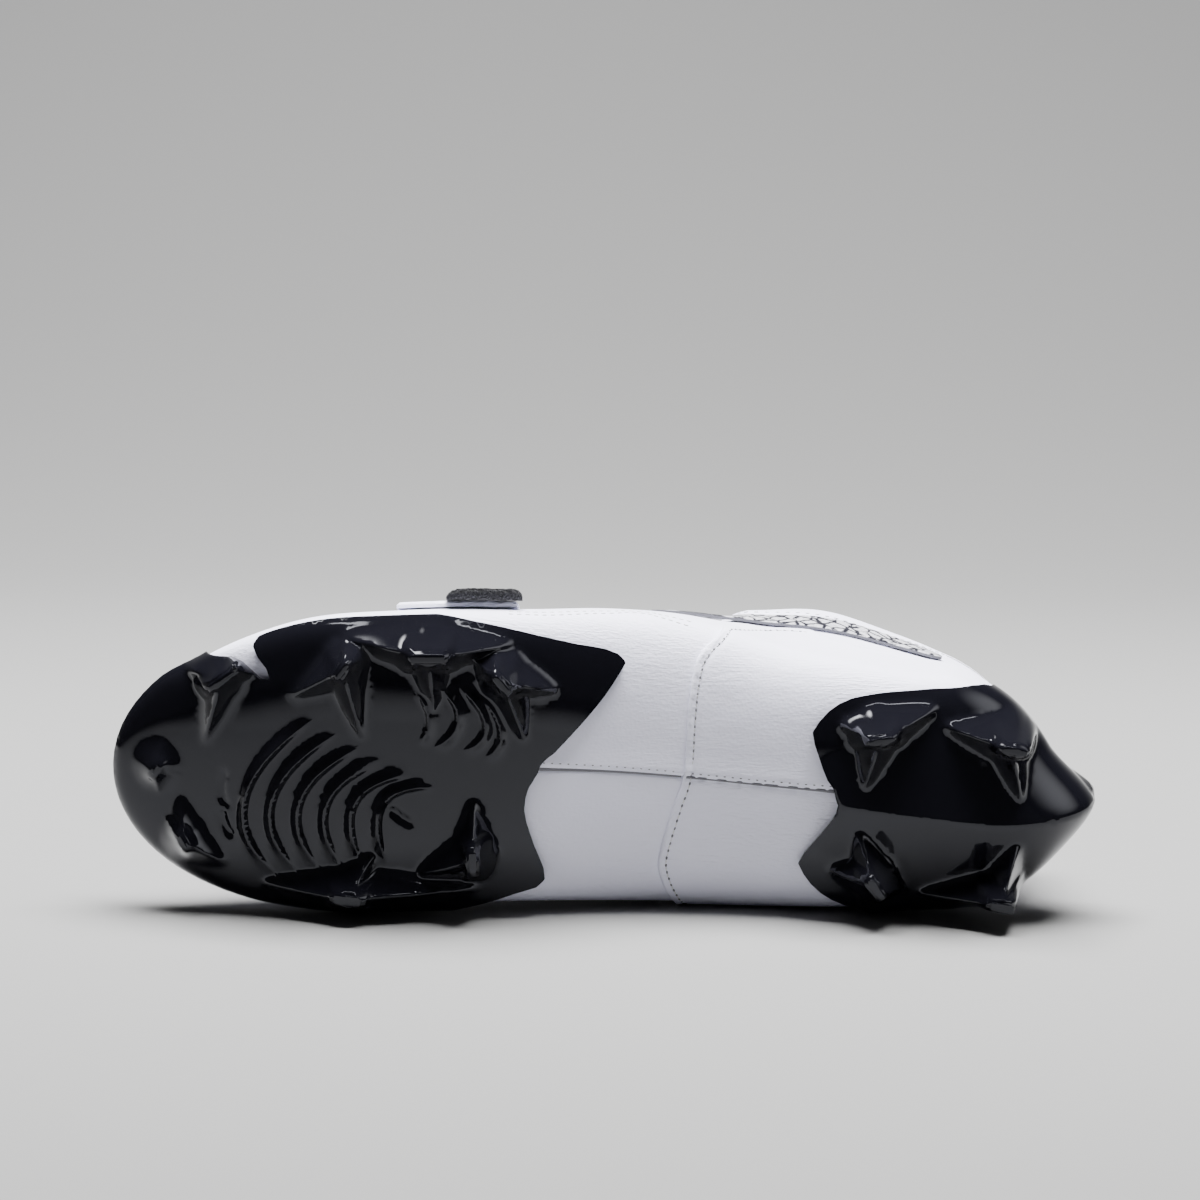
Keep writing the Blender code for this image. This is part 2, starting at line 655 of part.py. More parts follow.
RING_STEP = 0.0040
EDGE_CLEAR = 0.4
KEEL_STEP = 0.005
PLATE_STEPS = (0.0042, 0.0041, 0.0095)
BENT_FROM = 0.45
NOTCH = ((0.857, 0.402), (0.855, 0.380), (0.845, 0.330), (0.8350, 0.290), (0.840, 0.270), (0.849, 0.281),
         (0.862, 0.320), (0.876, 0.351))
FOREFOOT_INNER_EDGE = ((0.640, -0.527), (0.615, -0.508), (0.590, -0.482), (0.567, -0.460))
FOREFOOT_REAR = ((0.559, -0.447), (0.559, -0.412), (0.570, -0.300), (0.579, -0.160), (0.571, -0.070),
                 (0.544, 0.039), (0.519, 0.131), (0.497, 0.219), (0.477, 0.318))
FOREFOOT_OUTER_EDGE = ((0.475, 0.335), (0.487, 0.357), (0.529, 0.392), (0.604, 0.455))
HEEL_INNER_EDGE = ((0.297, -0.379), (0.291, -0.421), (0.279, -0.471), (0.258, -0.518), (0.230, -0.545))
HEEL_OUTER_EDGE = ((0.170, 0.238), (0.227, 0.224), (0.245, 0.213), (0.262, 0.185), (0.276, 0.139), (0.284, 0.097))
HEEL_FRONT = ((0.284, 0.080), (0.270, -0.058), (0.2575, -0.150), (0.2575, -0.172), (0.266, -0.225), (0.282, -0.301),
              (0.295, -0.360))


def forefoot_ring():
    """The forefoot plate's outline, as plan points."""
    inner = rim(np.linspace(2.95, 1.86, 24), -1, FOREFOOT_LIFT, 1.0)
    outer = rim(np.linspace(1.86, 2.26, 12), 1, FOREFOOT_LIFT, 0.975)
    toe = rim(np.linspace(2.43, 3.0, 14), 1, FOREFOOT_LIFT, 1.0)
    parts = (toe, inner, smooth(plan(FOREFOOT_INNER_EDGE)), smooth(plan(FOREFOOT_REAR)),
             smooth(plan(FOREFOOT_OUTER_EDGE)), outer, smooth(plan(NOTCH)))
    return even(np.concatenate(parts), RING_STEP, closed=True)


def heel_ring():
    """The heel plate's outline, as plan points: it climbs the wall behind the heel."""
    inner_s = np.linspace(1.12, 0, 22)
    outer_s = np.linspace(0.04, 0.80, 16)
    inner = rim(inner_s, -1, HEEL_LIFT, 1.0 + 0.30 * (1 - np.clip(inner_s, 0, 1)) ** 1.5)
    outer = rim(outer_s, 1, HEEL_LIFT, 0.95 + 0.35 * (1 - outer_s) ** 1.5)
    parts = (smooth(plan(HEEL_INNER_EDGE)), inner, outer, smooth(plan(HEEL_OUTER_EDGE)), smooth(plan(HEEL_FRONT)))
    return even(np.concatenate(parts), RING_STEP, closed=True)


def clear_creases(creases, ring):
    """The creases' points that lie inside the ring and clear of its edge."""
    loop = np.concatenate([ring, ring[:1]])
    kept = [c[inside_ring(c, ring) & (path_distance(c, loop)[0] > RING_STEP * EDGE_CLEAR)] for c in creases]
    return [c for c in kept if len(c) > 1]


def make_forefoot_plate():
    ring = forefoot_ring()
    creases = clear_creases(stud_creases(FOREFOOT_STUDS) + [rib_line(i, 7) for i in range(RIB_COUNT)], ring)
    return bottom_patch("forefoot_plate", ring, creases, GAP, PLATE_SLACK, FOREFOOT_LIFT, forefoot_top,
                        PLATE_STEPS, PLATE_COLOUR, 0.08)


def make_heel_plate():
    ring = heel_ring()
    creases = clear_creases(stud_creases(HEEL_STUDS) + [even(smooth(plan(KEEL)), KEEL_STEP)], ring)
    return bottom_patch("heel_plate", ring, creases, COUNTER_STEP + GAP, PLATE_SLACK, HEEL_LIFT, heel_top,
                        PLATE_STEPS, PLATE_COLOUR, 0.08)


LOW_ROWS = 6
WALL_ROWS = (1.0, 1.12, 1.24, 1.34, 1.37, 1.50, 1.62, 1.74)
COUNTER_ROWS = 4
SOLE_OPENINGS = ((0.06, 0.235, 0.68), (0.61, 1.02, 0.70))
OPENING_ROUND = 0.05
COLLAR_BINDING = 0.4


def bottom_start(x):
    """The share of the way out to the widest line at which the upper's bottom begins, at x."""
    at = np.asarray(x) / LENGTH
    share = np.zeros_like(at)
    for low, high, most in SOLE_OPENINGS:
        inset = np.clip(np.minimum(at - low, high - at) / OPENING_ROUND, 0, 1)
        share = np.maximum(share, most * np.sqrt(1 - (1 - inset) ** 2))
    return share


def upper_columns():
    heel = np.linspace(0, 1, 8)[:-1]
    counter = 1 + (COUNTER_FRONT - HEEL_CENTRE) / (TOE_CENTRE - HEEL_CENTRE)
    rear = np.linspace(1, counter - 0.008, 10)
    front = np.linspace(counter + 0.008, 2, 13)
    toe = np.linspace(2, 3, 9)[1:]
    return np.concatenate([heel, rear, front, toe]), counter


def upper_points(side):
    """The upper's outer skin on one side, a row for each girth line."""
    columns, counter = upper_columns()
    wide_x, _ = outline(columns, side)
    edge = np.stack(top_edge(columns, side)[:3], axis=-1)
    low = surface(columns, 1.0, side)
    tall = np.linalg.norm(edge - low, axis=-1)
    wide = FACING_WIDTH * (COLLAR_BINDING + (1 - COLLAR_BINDING) * ease(COLLAR_START, THROAT_START, wide_x / LENGTH))
    facing = 2 - wide / tall * 0.95
    start = bottom_start(np.where(columns < 1, LENGTH * HEEL_CENTRE, np.where(columns > 2, LENGTH * 0.9, wide_x)))
    start = np.arcsin(start ** (last("flat", wide_x) / 2)) * 2 / math.pi
    rows = [start + (1 - start) * i / LOW_ROWS for i in range(LOW_ROWS)]
    top = WALL_ROWS[-1]
    rows += [np.full_like(columns, row) * 1.0 for row in WALL_ROWS]
    facing = np.maximum(facing, top + 0.04)
    rows += [facing - 0.008, facing + 0.008, np.full_like(columns, 2.0)]
    points = []
    for number, g in enumerate(rows):
        in_counter = (columns < counter) & (number < LOW_ROWS + COUNTER_ROWS)
        in_facing = (number >= len(rows) - 2) & (columns < 2 + 0.001)
        fade = 1 - ease(THROAT_FRONT + 0.005, THROAT_FRONT + 0.03, wide_x / LENGTH)
        lift = COUNTER_STEP * in_counter + FACING_STEP * in_facing * fade
        points.append(skin(columns, g, side, lift))
    return np.array(points)


def make_upper():
    mesh = bmesh.new()
    for side in SIDES:
        points = upper_points(side)
        rows, columns, _ = points.shape
        verts = [mesh.verts.new(p) for p in points.reshape(-1, 3)]
        for i in range(rows - 1):
            for j in range(columns - 1):
                a = i * columns + j
                quad = [verts[a], verts[a + 1], verts[a + columns + 1], verts[a + columns]]
                mesh.faces.new(quad if side < 0 else quad[::-1])
    bmesh.ops.remove_doubles(mesh, verts=mesh.verts, dist=2e-5)
    piece = finish("upper", mesh, (0.85, 0.85, 0.86), 0.45)
    thick = piece.modifiers.new("wall", "SOLIDIFY")
    thick.thickness = WALL
    thick.offset = -1
    thick.use_even_offset = True
    return piece


# The insole lies inside over the rim of the bottom.
INSOLE_SHARE = 0.86
INSOLE_STEPS = (0.010, 0.008, 0.014)


def make_insole():
    under = -(WALL + GAP + SLACK)
    ring = np.concatenate([
        rim(np.linspace(0, 3, 60)[:-1], 1, under, INSOLE_SHARE),
        rim(np.linspace(3, 0, 60)[:-1], -1, under, INSOLE_SHARE),
    ])
    ring = even(ring, 0.010, closed=True)

    def level(points, place):
        return np.full(len(points), under), np.zeros(len(points))

    return bottom_patch("insole", ring, [], under - INSOLE_THICKNESS, 0.0, under, level, INSOLE_STEPS,
                        (0.20, 0.20, 0.21), 0.8)


def arch(x, turn, side):
    """The whole instep, as if the throat were closed, from turn 0 at the widest line up to the ridge."""
    x, turn, side = np.broadcast_arrays(x, turn, side)
    low = last("widest", x)
    reach = np.abs(last("middle", x) + side * half_width(x, side) - crest(x))
    y = crest(x) + side * reach * np.cos(turn)
    z = low + (last("ridge", x) - low) * np.sin(turn)
    return np.stack([x, y, z], axis=-1)


def arch_lengths(x, side):
    """The way down the closed instep from its ridge, at an even row of turns."""
    turns = np.linspace(math.pi / 2, 0, 60)[:, None]
    legs = np.linalg.norm(np.diff(arch(x[None], turns, side[None]), axis=0), axis=-1)
    return turns, np.concatenate([np.zeros((1, len(x))), np.cumsum(legs, axis=0)])


def down_instep(x, share, side):
    """Flat points of x and the way from the ridge, at a share of the whole way to the widest line."""
    x = np.asarray(x, float)
    _, lengths = arch_lengths(x, np.full(len(x), float(side)))
    return np.stack([x, side * share * lengths[-1]], axis=1)


def instep_skin(points, lift):
    """The point that lies lift outside the closed instep, for flat points of x and the way from the ridge."""
    x, around = points[:, 0], points[:, 1]
    side = np.where(around >= 0, 1.0, -1.0)
    turns, lengths = arch_lengths(x, side)
    turn = np.array([np.interp(abs(d), lengths[:, i], turns[:, 0]) for i, d in enumerate(around)])
    small = 1e-4
    along = arch(x + small, turn, side) - arch(x - small, turn, side)
    about = arch(x, turn + small, side) - arch(x, turn - small, side)
    out = np.cross(about, along) * side[:, None]
    out = out / np.linalg.norm(out, axis=-1, keepdims=True)
    return arch(x, turn, side) + out * np.asarray(lift)[..., None]


def instep_patch(name, ring, creases, base, top, step, colour, roughness):
    """A solid over the instep between the lifts that base and top work out at flat points."""
    plan_points, faces = triangulate(ring, filling(ring, step, creases), creases)
    outer = instep_skin(plan_points, top(plan_points))
    inner = instep_skin(plan_points, base(plan_points))
    return patch(name, outer, faces, inner, faces, len(ring), colour, roughness)


TONGUE_ROWS = ((0.395, 0.20), (0.41, 0.24), (0.46, 0.27), (0.56, 0.30), (0.68, 0.28), (0.725, 0.20))


def make_tongue():
    rows = np.array(TONGUE_ROWS)
    at = np.linspace(rows[0, 0], rows[-1, 0], 24)
    half = curve(rows[:, 0], rows[:, 1], at)
    left = np.stack([at * LENGTH, half * BALL_WIDTH], axis=1)
    ring = even(np.concatenate([left, left[::-1] * (1, -1)]), 0.007, closed=True)
    top = -(WALL + GAP + SLACK)
    return instep_patch("tongue", ring, [], lambda p: np.full(len(p), top - TONGUE_THICKNESS),
                        lambda p: np.full(len(p), top), 0.009, (0.75, 0.75, 0.76), 0.8)


LACE_ROWS = (0.448, 0.488, 0.528, 0.568, 0.608, 0.648)
LACE_INSET = 0.0085


LACE_LIFT = FACING_STEP + GAP + SLACK
STRAP_CLEAR = LACE_LIFT + LACE_THICKNESS + GAP
STRAP_FRONT = 0.708
STRAP_FALL_FROM = 0.001
STRAP_FALL_TO = 0.012
STRAP_OUTER = 0.93
STRAP_INNER = 0.70
TAB_FROM = 0.80
TAB_TO = 0.97

# The middle line of the band: at is a share of LENGTH, the height over the stand one of HEEL_HEIGHT.
BAND_LINE = ((0.150, 0.690), (0.19, 0.722), (0.235, 0.732), (0.28, 0.722), (0.33, 0.705), (0.42, 0.665), (0.50, 0.670))


def ribbon(path, half):
    """The outline of a flat ribbon along a path of flat points."""
    legs = np.diff(path, axis=0)
    across = np.stack([-legs[:, 1], legs[:, 0]], axis=1) / np.linalg.norm(legs, axis=1)[:, None]
    before, after = across[:-1], across[1:]
    corners = (before + after) / (1 + (before * after).sum(axis=1))[:, None]
    offset = half * np.concatenate([across[:1], corners, across[-1:]])
    return np.concatenate([path + offset, (path - offset)[::-1]])


def make_laces():
    """One flat lace that runs to and fro over the throat, up to the top eyelets."""
    half = THROAT_WIDTH / 2 + LACE_INSET
    path = []
    for i, at in enumerate(LACE_ROWS):
        side = 1 if i % 2 == 0 else -1
        path += [(at * LENGTH, side * half), (at * LENGTH, -side * half)]
    ring = even(ribbon(np.array(path), LACE_WIDTH / 2), 0.0042, closed=True)
    return instep_patch("laces", ring, [], lambda p: np.full(len(p), LACE_LIFT),
                        lambda p: np.full(len(p), LACE_LIFT + LACE_THICKNESS), 0.006, (0.86, 0.86, 0.87), 0.7)


def strap_base(points):
    """The strap's lift: clear of the laces and the facings over the throat, near the wall beside them."""
    away = np.abs(points[:, 1])
    over = THROAT_WIDTH / 2 + FACING_WIDTH
    return GAP + SLACK + (STRAP_CLEAR - GAP - SLACK) * (1 - ease(over + STRAP_FALL_FROM, over + STRAP_FALL_TO, away))


def make_strap():
    """The strap that runs from the inner side over the laces and down the outer side."""
    front, back = STRAP_FRONT * LENGTH, STRAP_FRONT * LENGTH - STRAP_WIDTH
    at = np.linspace(back, front, 8)
    outer = down_instep(at, STRAP_OUTER, 1)
    inner = down_instep(at, STRAP_INNER, -1)
    ring = even(np.concatenate([outer, inner[::-1]]), 0.0055, closed=True)
    return instep_patch("strap", ring, [], strap_base, lambda p: strap_base(p) + STRAP_THICKNESS, 0.006,
                        (0.85, 0.85, 0.86), 0.5)


def make_strap_tab():
    """The thick tab that stands out at the strap's end."""
    back = STRAP_FRONT * LENGTH - STRAP_WIDTH + 0.002
    at = np.linspace(back, back + TAB_WIDTH, 6)
    ring = even(np.concatenate([down_instep(at, TAB_FROM, 1), down_instep(at, TAB_TO, 1)[::-1]]), 0.003, closed=True)

    def base(points):
        return strap_base(points) + STRAP_THICKNESS + GAP + SLACK

    def top(points):
        whole = down_instep(points[:, 0], 1.0, 1)[:, 1]
        out = ease(TAB_FROM, TAB_TO, points[:, 1] / whole)
        return base(points) + 0.001 + (TAB_REACH - 0.0035) * out

    return instep_patch("strap_tab", ring, [], base, top, 0.004, (0.015, 0.015, 0.016), 0.95)


def band_spot(points):
    """The places on the outer wall of flat points of x and the way up from the band's middle line."""
    rows = np.array(BAND_LINE)
    x = points[:, 0]
    s = 1 + (x / LENGTH - HEEL_CENTRE) / (TOE_CENTRE - HEEL_CENTRE)
    side = np.ones(len(x))
    steps = np.linspace(1, 2, 60)[:, None]
    wall = surface(s[None], steps, side[None])
    wanted = STAND + HEEL_HEIGHT * curve(rows[:, 0], rows[:, 1], x / LENGTH)
    middle = np.array([np.interp(z, wall[:, i, 2], steps[:, 0]) for i, z in enumerate(wanted)])
    tall = np.linalg.norm(np.diff(wall, axis=0), axis=-1).sum(axis=0)
    return s, middle + points[:, 1] / tall, side


def make_trim_band():
    """The printed band along the outer side below the collar."""
    start, end = BAND_LINE[0][0] * LENGTH, BAND_LINE[-1][0] * LENGTH
    half = BAND_WIDTH / 2
    turn = np.linspace(math.pi / 2, 3 * math.pi / 2, 7)
    cap = np.stack([start + half + half * np.cos(turn), half * np.sin(turn)], axis=1)
    ring = even(np.concatenate([[(end, -half), (end, half)], cap]), 0.004, closed=True)
    plan_points, faces = triangulate(ring, filling(ring, 0.005, []), [])
    place = band_spot(plan_points)
    low = GAP + 3 * SLACK
    inner = skin(*place, np.full(len(plan_points), low))
    outer = skin(*place, np.full(len(plan_points), low + BAND_THICKNESS))
    return patch("trim_band", outer, faces, inner, faces, len(ring), (0.42, 0.42, 0.42), 0.5)


def clear_scene():
    for old in list(bpy.data.objects):
        bpy.data.objects.remove(old)


def lay_down():
    """Turns the shoe over onto the facet of its hull that it rests on, with the inner side down."""
    turn = Matrix(((-1, 0, 0, 0), (0, 0, 1, 0), (0, 1, 0, 0), (0, 0, 0, 1)))
    pieces = list(SHOE.objects)
    graph = bpy.context.evaluated_depsgraph_get()
    whole = bmesh.new()
    mass, moment = 0.0, Vector()
    for piece in pieces:
        piece.data.transform(turn)
        piece.data.update()
    bpy.context.view_layer.update()
    for piece in pieces:
        solid = bmesh.new()
        solid.from_object(piece, graph)
        bmesh.ops.triangulate(solid, faces=solid.faces)
        for face in solid.faces:
            a, b, c = (v.co for v in face.verts)
            part = a.dot(b.cross(c)) / 6
            mass += part
            moment += part * (a + b + c) / 4
        for vert in solid.verts:
            whole.verts.new(vert.co)
        solid.free()
    centre = moment / mass
    bmesh.ops.convex_hull(whole, input=whole.verts)
    resting = None
    for face in whole.faces:
        face.normal_update()
        down = face.normal
        foot = centre + down * (face.calc_center_median() - centre).dot(down)
        if down.z < -0.7 and bmesh.geometry.intersect_face_point(face, foot):
            resting = down.copy()
    low = min(v.co.dot(resting) * -1 for v in whole.verts)
    settle = resting.rotation_difference(Vector((0, 0, -1))).to_matrix().to_4x4()
    placed = [settle @ v.co for v in whole.verts]
    middle = [(min(p[i] for p in placed) + max(p[i] for p in placed)) / 2 for i in range(2)]
    shift = Matrix.Translation((-middle[0], -middle[1], -low))
    for piece in pieces:
        piece.data.transform(shift @ settle)
        piece.data.update()
    whole.free()
    return shift @ settle @ turn


clear_scene()
SHOE = bpy.data.collections.new("football_cleat")
bpy.context.scene.collection.children.link(SHOE)
make_upper()
make_forefoot_plate()
make_heel_plate()
make_insole()
make_tongue()
make_laces()
make_strap()
make_strap_tab()
make_trim_band()
REST = lay_down()
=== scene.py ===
"""The looks of the left football cleat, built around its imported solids.

The shoe's own frame, its tables and the functions of its last are those that its source works from:
x runs from the rear spur to the toe, y to the outer side of the foot, z up from the stud tips. A place
on the last is a station s, a girth g and a side. Each piece is laid down with the shoe by REST.
"""

import math

import bmesh
import bpy
import numpy as np
from mathutils import Matrix, Vector
from mathutils.geometry import delaunay_2d_cdt


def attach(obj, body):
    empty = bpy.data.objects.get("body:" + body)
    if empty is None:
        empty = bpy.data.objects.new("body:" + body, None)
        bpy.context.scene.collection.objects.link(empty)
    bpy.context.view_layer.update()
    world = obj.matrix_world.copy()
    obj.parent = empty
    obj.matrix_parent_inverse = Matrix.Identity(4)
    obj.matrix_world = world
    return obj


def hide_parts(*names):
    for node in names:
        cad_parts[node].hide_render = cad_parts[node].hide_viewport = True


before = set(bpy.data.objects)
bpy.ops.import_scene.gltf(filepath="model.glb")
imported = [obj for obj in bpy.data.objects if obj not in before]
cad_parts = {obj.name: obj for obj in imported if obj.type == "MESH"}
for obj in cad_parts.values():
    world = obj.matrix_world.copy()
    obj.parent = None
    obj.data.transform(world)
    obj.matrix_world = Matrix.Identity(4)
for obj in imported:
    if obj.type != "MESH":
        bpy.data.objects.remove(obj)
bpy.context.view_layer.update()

# How the finished shoe is turned over and laid on its inner side
REST = Matrix((
    (-0.9999253, -0.0122243, -0.0001681, 0.1475454),
    (0.0001681, -0.0275025, 0.9996217, -0.0558756),
    (-0.0122243, 0.9995470, 0.0275025, 0.0512876),
    (0.0, 0.0, 0.0, 1.0),
))

# Driving sizes, in metres
LENGTH = 0.298
BALL_WIDTH = 0.0903
INSTEP_HEIGHT = 0.101
HEEL_HEIGHT = 0.090
WALL = 0.002
PLATE_THICKNESS = 0.0023
STUD_HEIGHT = 0.012
RIB_HEIGHT = 0.0026
COUNTER_STEP = 0.0009
FACING_STEP = 0.001
FACING_WIDTH = 0.015
THROAT_WIDTH = 0.036
INSOLE_THICKNESS = 0.003
TONGUE_THICKNESS = 0.0035
LACE_WIDTH = 0.006
LACE_THICKNESS = 0.0014
STRAP_THICKNESS = 0.0018
STRAP_WIDTH = 0.040
TAB_WIDTH = 0.023
TAB_REACH = 0.0060
BAND_WIDTH = 0.012
BAND_THICKNESS = 0.0012
GAP = 0.0003
SLACK = 0.0003

STAND = STUD_HEIGHT + PLATE_THICKNESS + GAP
FOREFOOT_LIFT = GAP + PLATE_THICKNESS
HEEL_LIFT = COUNTER_STEP + GAP + PLATE_THICKNESS

# The last, a row for each section. at is a share of LENGTH. middle, inner and outer are shares of
# BALL_WIDTH: the middle line and the reach to each side. under, widest and ridge are heights over
# the stand as shares of INSTEP_HEIGHT. flat is the roundness of the underside.
SECTION_COLUMNS = ("at", "middle", "inner", "outer", "under", "widest", "ridge", "flat")
SECTIONS = (
    (0.03, -0.205, 0.372, 0.372, 0.090, 0.250, 1.10, 3.0),
    (0.08, -0.165, 0.374, 0.374, 0.060, 0.225, 1.10, 3.1),
    (0.15, -0.136, 0.380, 0.375, 0.042, 0.210, 1.10, 3.2),
    (0.24, -0.122, 0.418, 0.405, 0.046, 0.230, 1.10, 2.9),
    (0.32, -0.106, 0.447, 0.440, 0.080, 0.270, 1.08, 2.5),
    (0.40, -0.085, 0.468, 0.500, 0.105, 0.290, 0.985, 2.4),
    (0.49, -0.056, 0.482, 0.512, 0.080, 0.250, 0.830, 2.6),
    (0.57, -0.036, 0.486, 0.503, 0.032, 0.190, 0.700, 3.0),
    (0.65, -0.020, 0.495, 0.500, 0.005, 0.140, 0.590, 3.3),
    (0.745, -0.016, 0.500, 0.490, 0.000, 0.116, 0.485, 3.4),
    (0.80, -0.022, 0.497, 0.487, 0.015, 0.122, 0.430, 3.3),
    (0.86, -0.040, 0.492, 0.484, 0.045, 0.145, 0.380, 3.1),
    (0.92, -0.056, 0.490, 0.482, 0.090, 0.175, 0.330, 3.0),
    (1.00, -0.070, 0.495, 0.487, 0.165, 0.225, 0.270, 3.0),
)

# The height of the top edge behind the throat, over the stand, as a share of HEEL_HEIGHT.
COLLAR_COLUMNS = ("at", "height")
COLLAR = (
    (0.055, 1.000),
    (0.090, 0.975),
    (0.150, 0.900),
    (0.220, 0.865),
    (0.290, 0.885),
    (0.350, 0.930),
    (0.430, 1.120),
)

HEEL_CENTRE = 0.15
HEEL_REACH = 0.12
HEEL_ROUNDNESS = 1.75
TOE_CENTRE = 0.745
TOE_REACH = 0.248
CREST = -0.045
COLLAR_BACK = 0.055
COLLAR_START = 0.34
COLLAR_INNER = 0.425
COLLAR_OUTER = 0.435
COLLAR_ROUNDNESS = 2.3
COLLAR_BULGE = 0.043
COLLAR_BULGE_AT = 0.262
COLLAR_BULGE_REACH = 0.066
THROAT_START = 0.43
THROAT_FRONT = 0.70
THROAT_ROUND = 0.05
COLLAR_CURVE = 0.35
SIDES = (1, -1)


def read(rows, columns):
    """A dictionary of the columns of a table."""
    return dict(zip(columns, np.array(rows, float).T, strict=True))


LAST = read(SECTIONS, SECTION_COLUMNS)
TOPLINE = read(COLLAR, COLLAR_COLUMNS)


def curve(knots, values, at):
    """A smooth curve through the values at the knots."""
    at = np.clip(np.asarray(at, float), knots[0], knots[-1])
    slopes = np.gradient(values, knots)
    k = np.clip(np.searchsorted(knots, at, side="right") - 1, 0, len(knots) - 2)
    span = knots[k + 1] - knots[k]
    t = (at - knots[k]) / span
    start = (2 * t**3 - 3 * t**2 + 1) * values[k] + (t**3 - 2 * t**2 + t) * span * slopes[k]
    end = (3 * t**2 - 2 * t**3) * values[k + 1] + (t**3 - t**2) * span * slopes[k + 1]
    return start + end


def last(column, x):
    """A column of the last at x, in metres, or as it is for its roundness."""
    value = curve(LAST["at"], LAST[column], np.asarray(x) / LENGTH)
    if column in ("middle", "inner", "outer"):
        return value * BALL_WIDTH
    if column in ("under", "widest", "ridge"):
        return STAND + value * INSTEP_HEIGHT
    return value


def unit(vectors):
    """Vectors of the same directions, one long."""
    return vectors / np.linalg.norm(vectors, axis=-1, keepdims=True)


def rounded(share):
    """0 to 1 as a quarter of a circle rises."""
    return np.sqrt(1 - (1 - share) ** 2)


def looped(ring):
    """A ring with its first point again at its end."""
    return np.concatenate([ring, ring[:1]])


def way_along(path):
    """The way covered at each point of a path, or of several side by side."""
    legs = np.linalg.norm(np.diff(path, axis=0), axis=-1)
    return np.concatenate([np.zeros_like(legs[:1]), np.cumsum(legs, axis=0)])


def look_up(wanted, table, steps):
    """The step at which each column of the table reaches its wanted value."""
    return np.array([np.interp(value, table[:, i], steps[:, 0]) for i, value in enumerate(wanted)])


def half_width(x, side):
    """The reach of the widest line from the middle line at x."""
    return np.where(side > 0, last("outer", x), last("inner", x))


def ease(low, high, value):
    """0 below low, 1 above high, smooth between."""
    t = np.clip((value - low) / (high - low), 0, 1)
    return t * t * (3 - 2 * t)


def outline(s, side):
    """The widest line at station s: x and y."""
    s = np.asarray(s, float)
    side = np.asarray(side, float)
    heel = np.clip(s, 0, 1) * math.pi / 2
    toe = np.clip(s - 2, 0, 1) * math.pi / 2
    along = np.clip(s - 1, 0, 1)
    middle = LENGTH * (HEEL_CENTRE + along * (TOE_CENTRE - HEEL_CENTRE))
    power = 2 / HEEL_ROUNDNESS
    x = middle - LENGTH * HEEL_REACH * np.cos(heel) ** power * (s < 1)
    x = x + LENGTH * TOE_REACH * np.sin(toe)
    narrow = np.where(s < 1, np.sin(heel) ** power, np.cos(toe))
    y = last("middle", x) + side * half_width(x, side) * narrow
    return x, y


def hub(s):
    """The point of the bottom's middle line that station s runs out from."""
    along = np.clip(np.asarray(s, float) - 1, 0, 1)
    x = LENGTH * (HEEL_CENTRE + along * (TOE_CENTRE - HEEL_CENTRE))
    return x, last("middle", x)


def crest(x):
    """The y of the instep's ridge."""
    return last("middle", x) + CREST * BALL_WIDTH


def throat_half(x):
    """Half the width of the throat at x."""
    inside = np.clip((THROAT_FRONT - np.asarray(x) / LENGTH) / THROAT_ROUND, 0, 1)
    return THROAT_WIDTH / 2 * rounded(inside)


def top_edge(s, side):
    """The top edge at station s: x, y, z and how much of a quarter ellipse leads up to it."""
    s = np.asarray(s, float)
    x, _ = outline(s, side)
    share = np.clip(x / LENGTH, LAST["at"][0], None)
    ridge_x = np.minimum(x, LENGTH * TOE_CENTRE)
    ridge_y = crest(ridge_x)
    ridge_z = last("ridge", ridge_x)
    reach = np.abs(last("middle", ridge_x) + side * half_width(ridge_x, side) - ridge_y)
    open_half = throat_half(ridge_x)
    up = np.sqrt(1 - (open_half / reach) ** 2)
    low = last("widest", ridge_x)
    throat_y = ridge_y + side * open_half
    throat_z = low + (ridge_z - low) * up
    heel_x = LENGTH * HEEL_CENTRE
    start_x = LENGTH * COLLAR_START
    turn = np.where(s < 1, s / 2, 0.5 + (x - heel_x) / (start_x - heel_x) / 2)
    turn = np.clip(turn, 0, 1) * math.pi / 2
    power = 2 / COLLAR_ROUNDNESS
    collar_x = start_x - LENGTH * (COLLAR_START - COLLAR_BACK) * np.cos(turn) ** power
    collar_x = np.where(x > start_x, x, collar_x)
    spread = np.where(side > 0, COLLAR_OUTER, COLLAR_INNER)
    bulge = (collar_x / LENGTH - COLLAR_BULGE_AT) / COLLAR_BULGE_REACH
    spread = (spread + COLLAR_BULGE * np.exp(-(bulge**2))) * BALL_WIDTH
    collar_y = last("middle", collar_x) + side * spread * np.sin(turn) ** power
    collar_z = STAND + HEEL_HEIGHT * curve(TOPLINE["at"], TOPLINE["height"], collar_x / LENGTH)
    mix = ease(COLLAR_START, THROAT_START, share)
    edge_x = mix * ridge_x + (1 - mix) * collar_x
    edge_y = mix * throat_y + (1 - mix) * collar_y
    edge_z = mix * throat_z + (1 - mix) * collar_z
    part = mix * np.minimum(up, 0.9999) + (1 - mix) * COLLAR_CURVE
    return edge_x, edge_y, edge_z, part


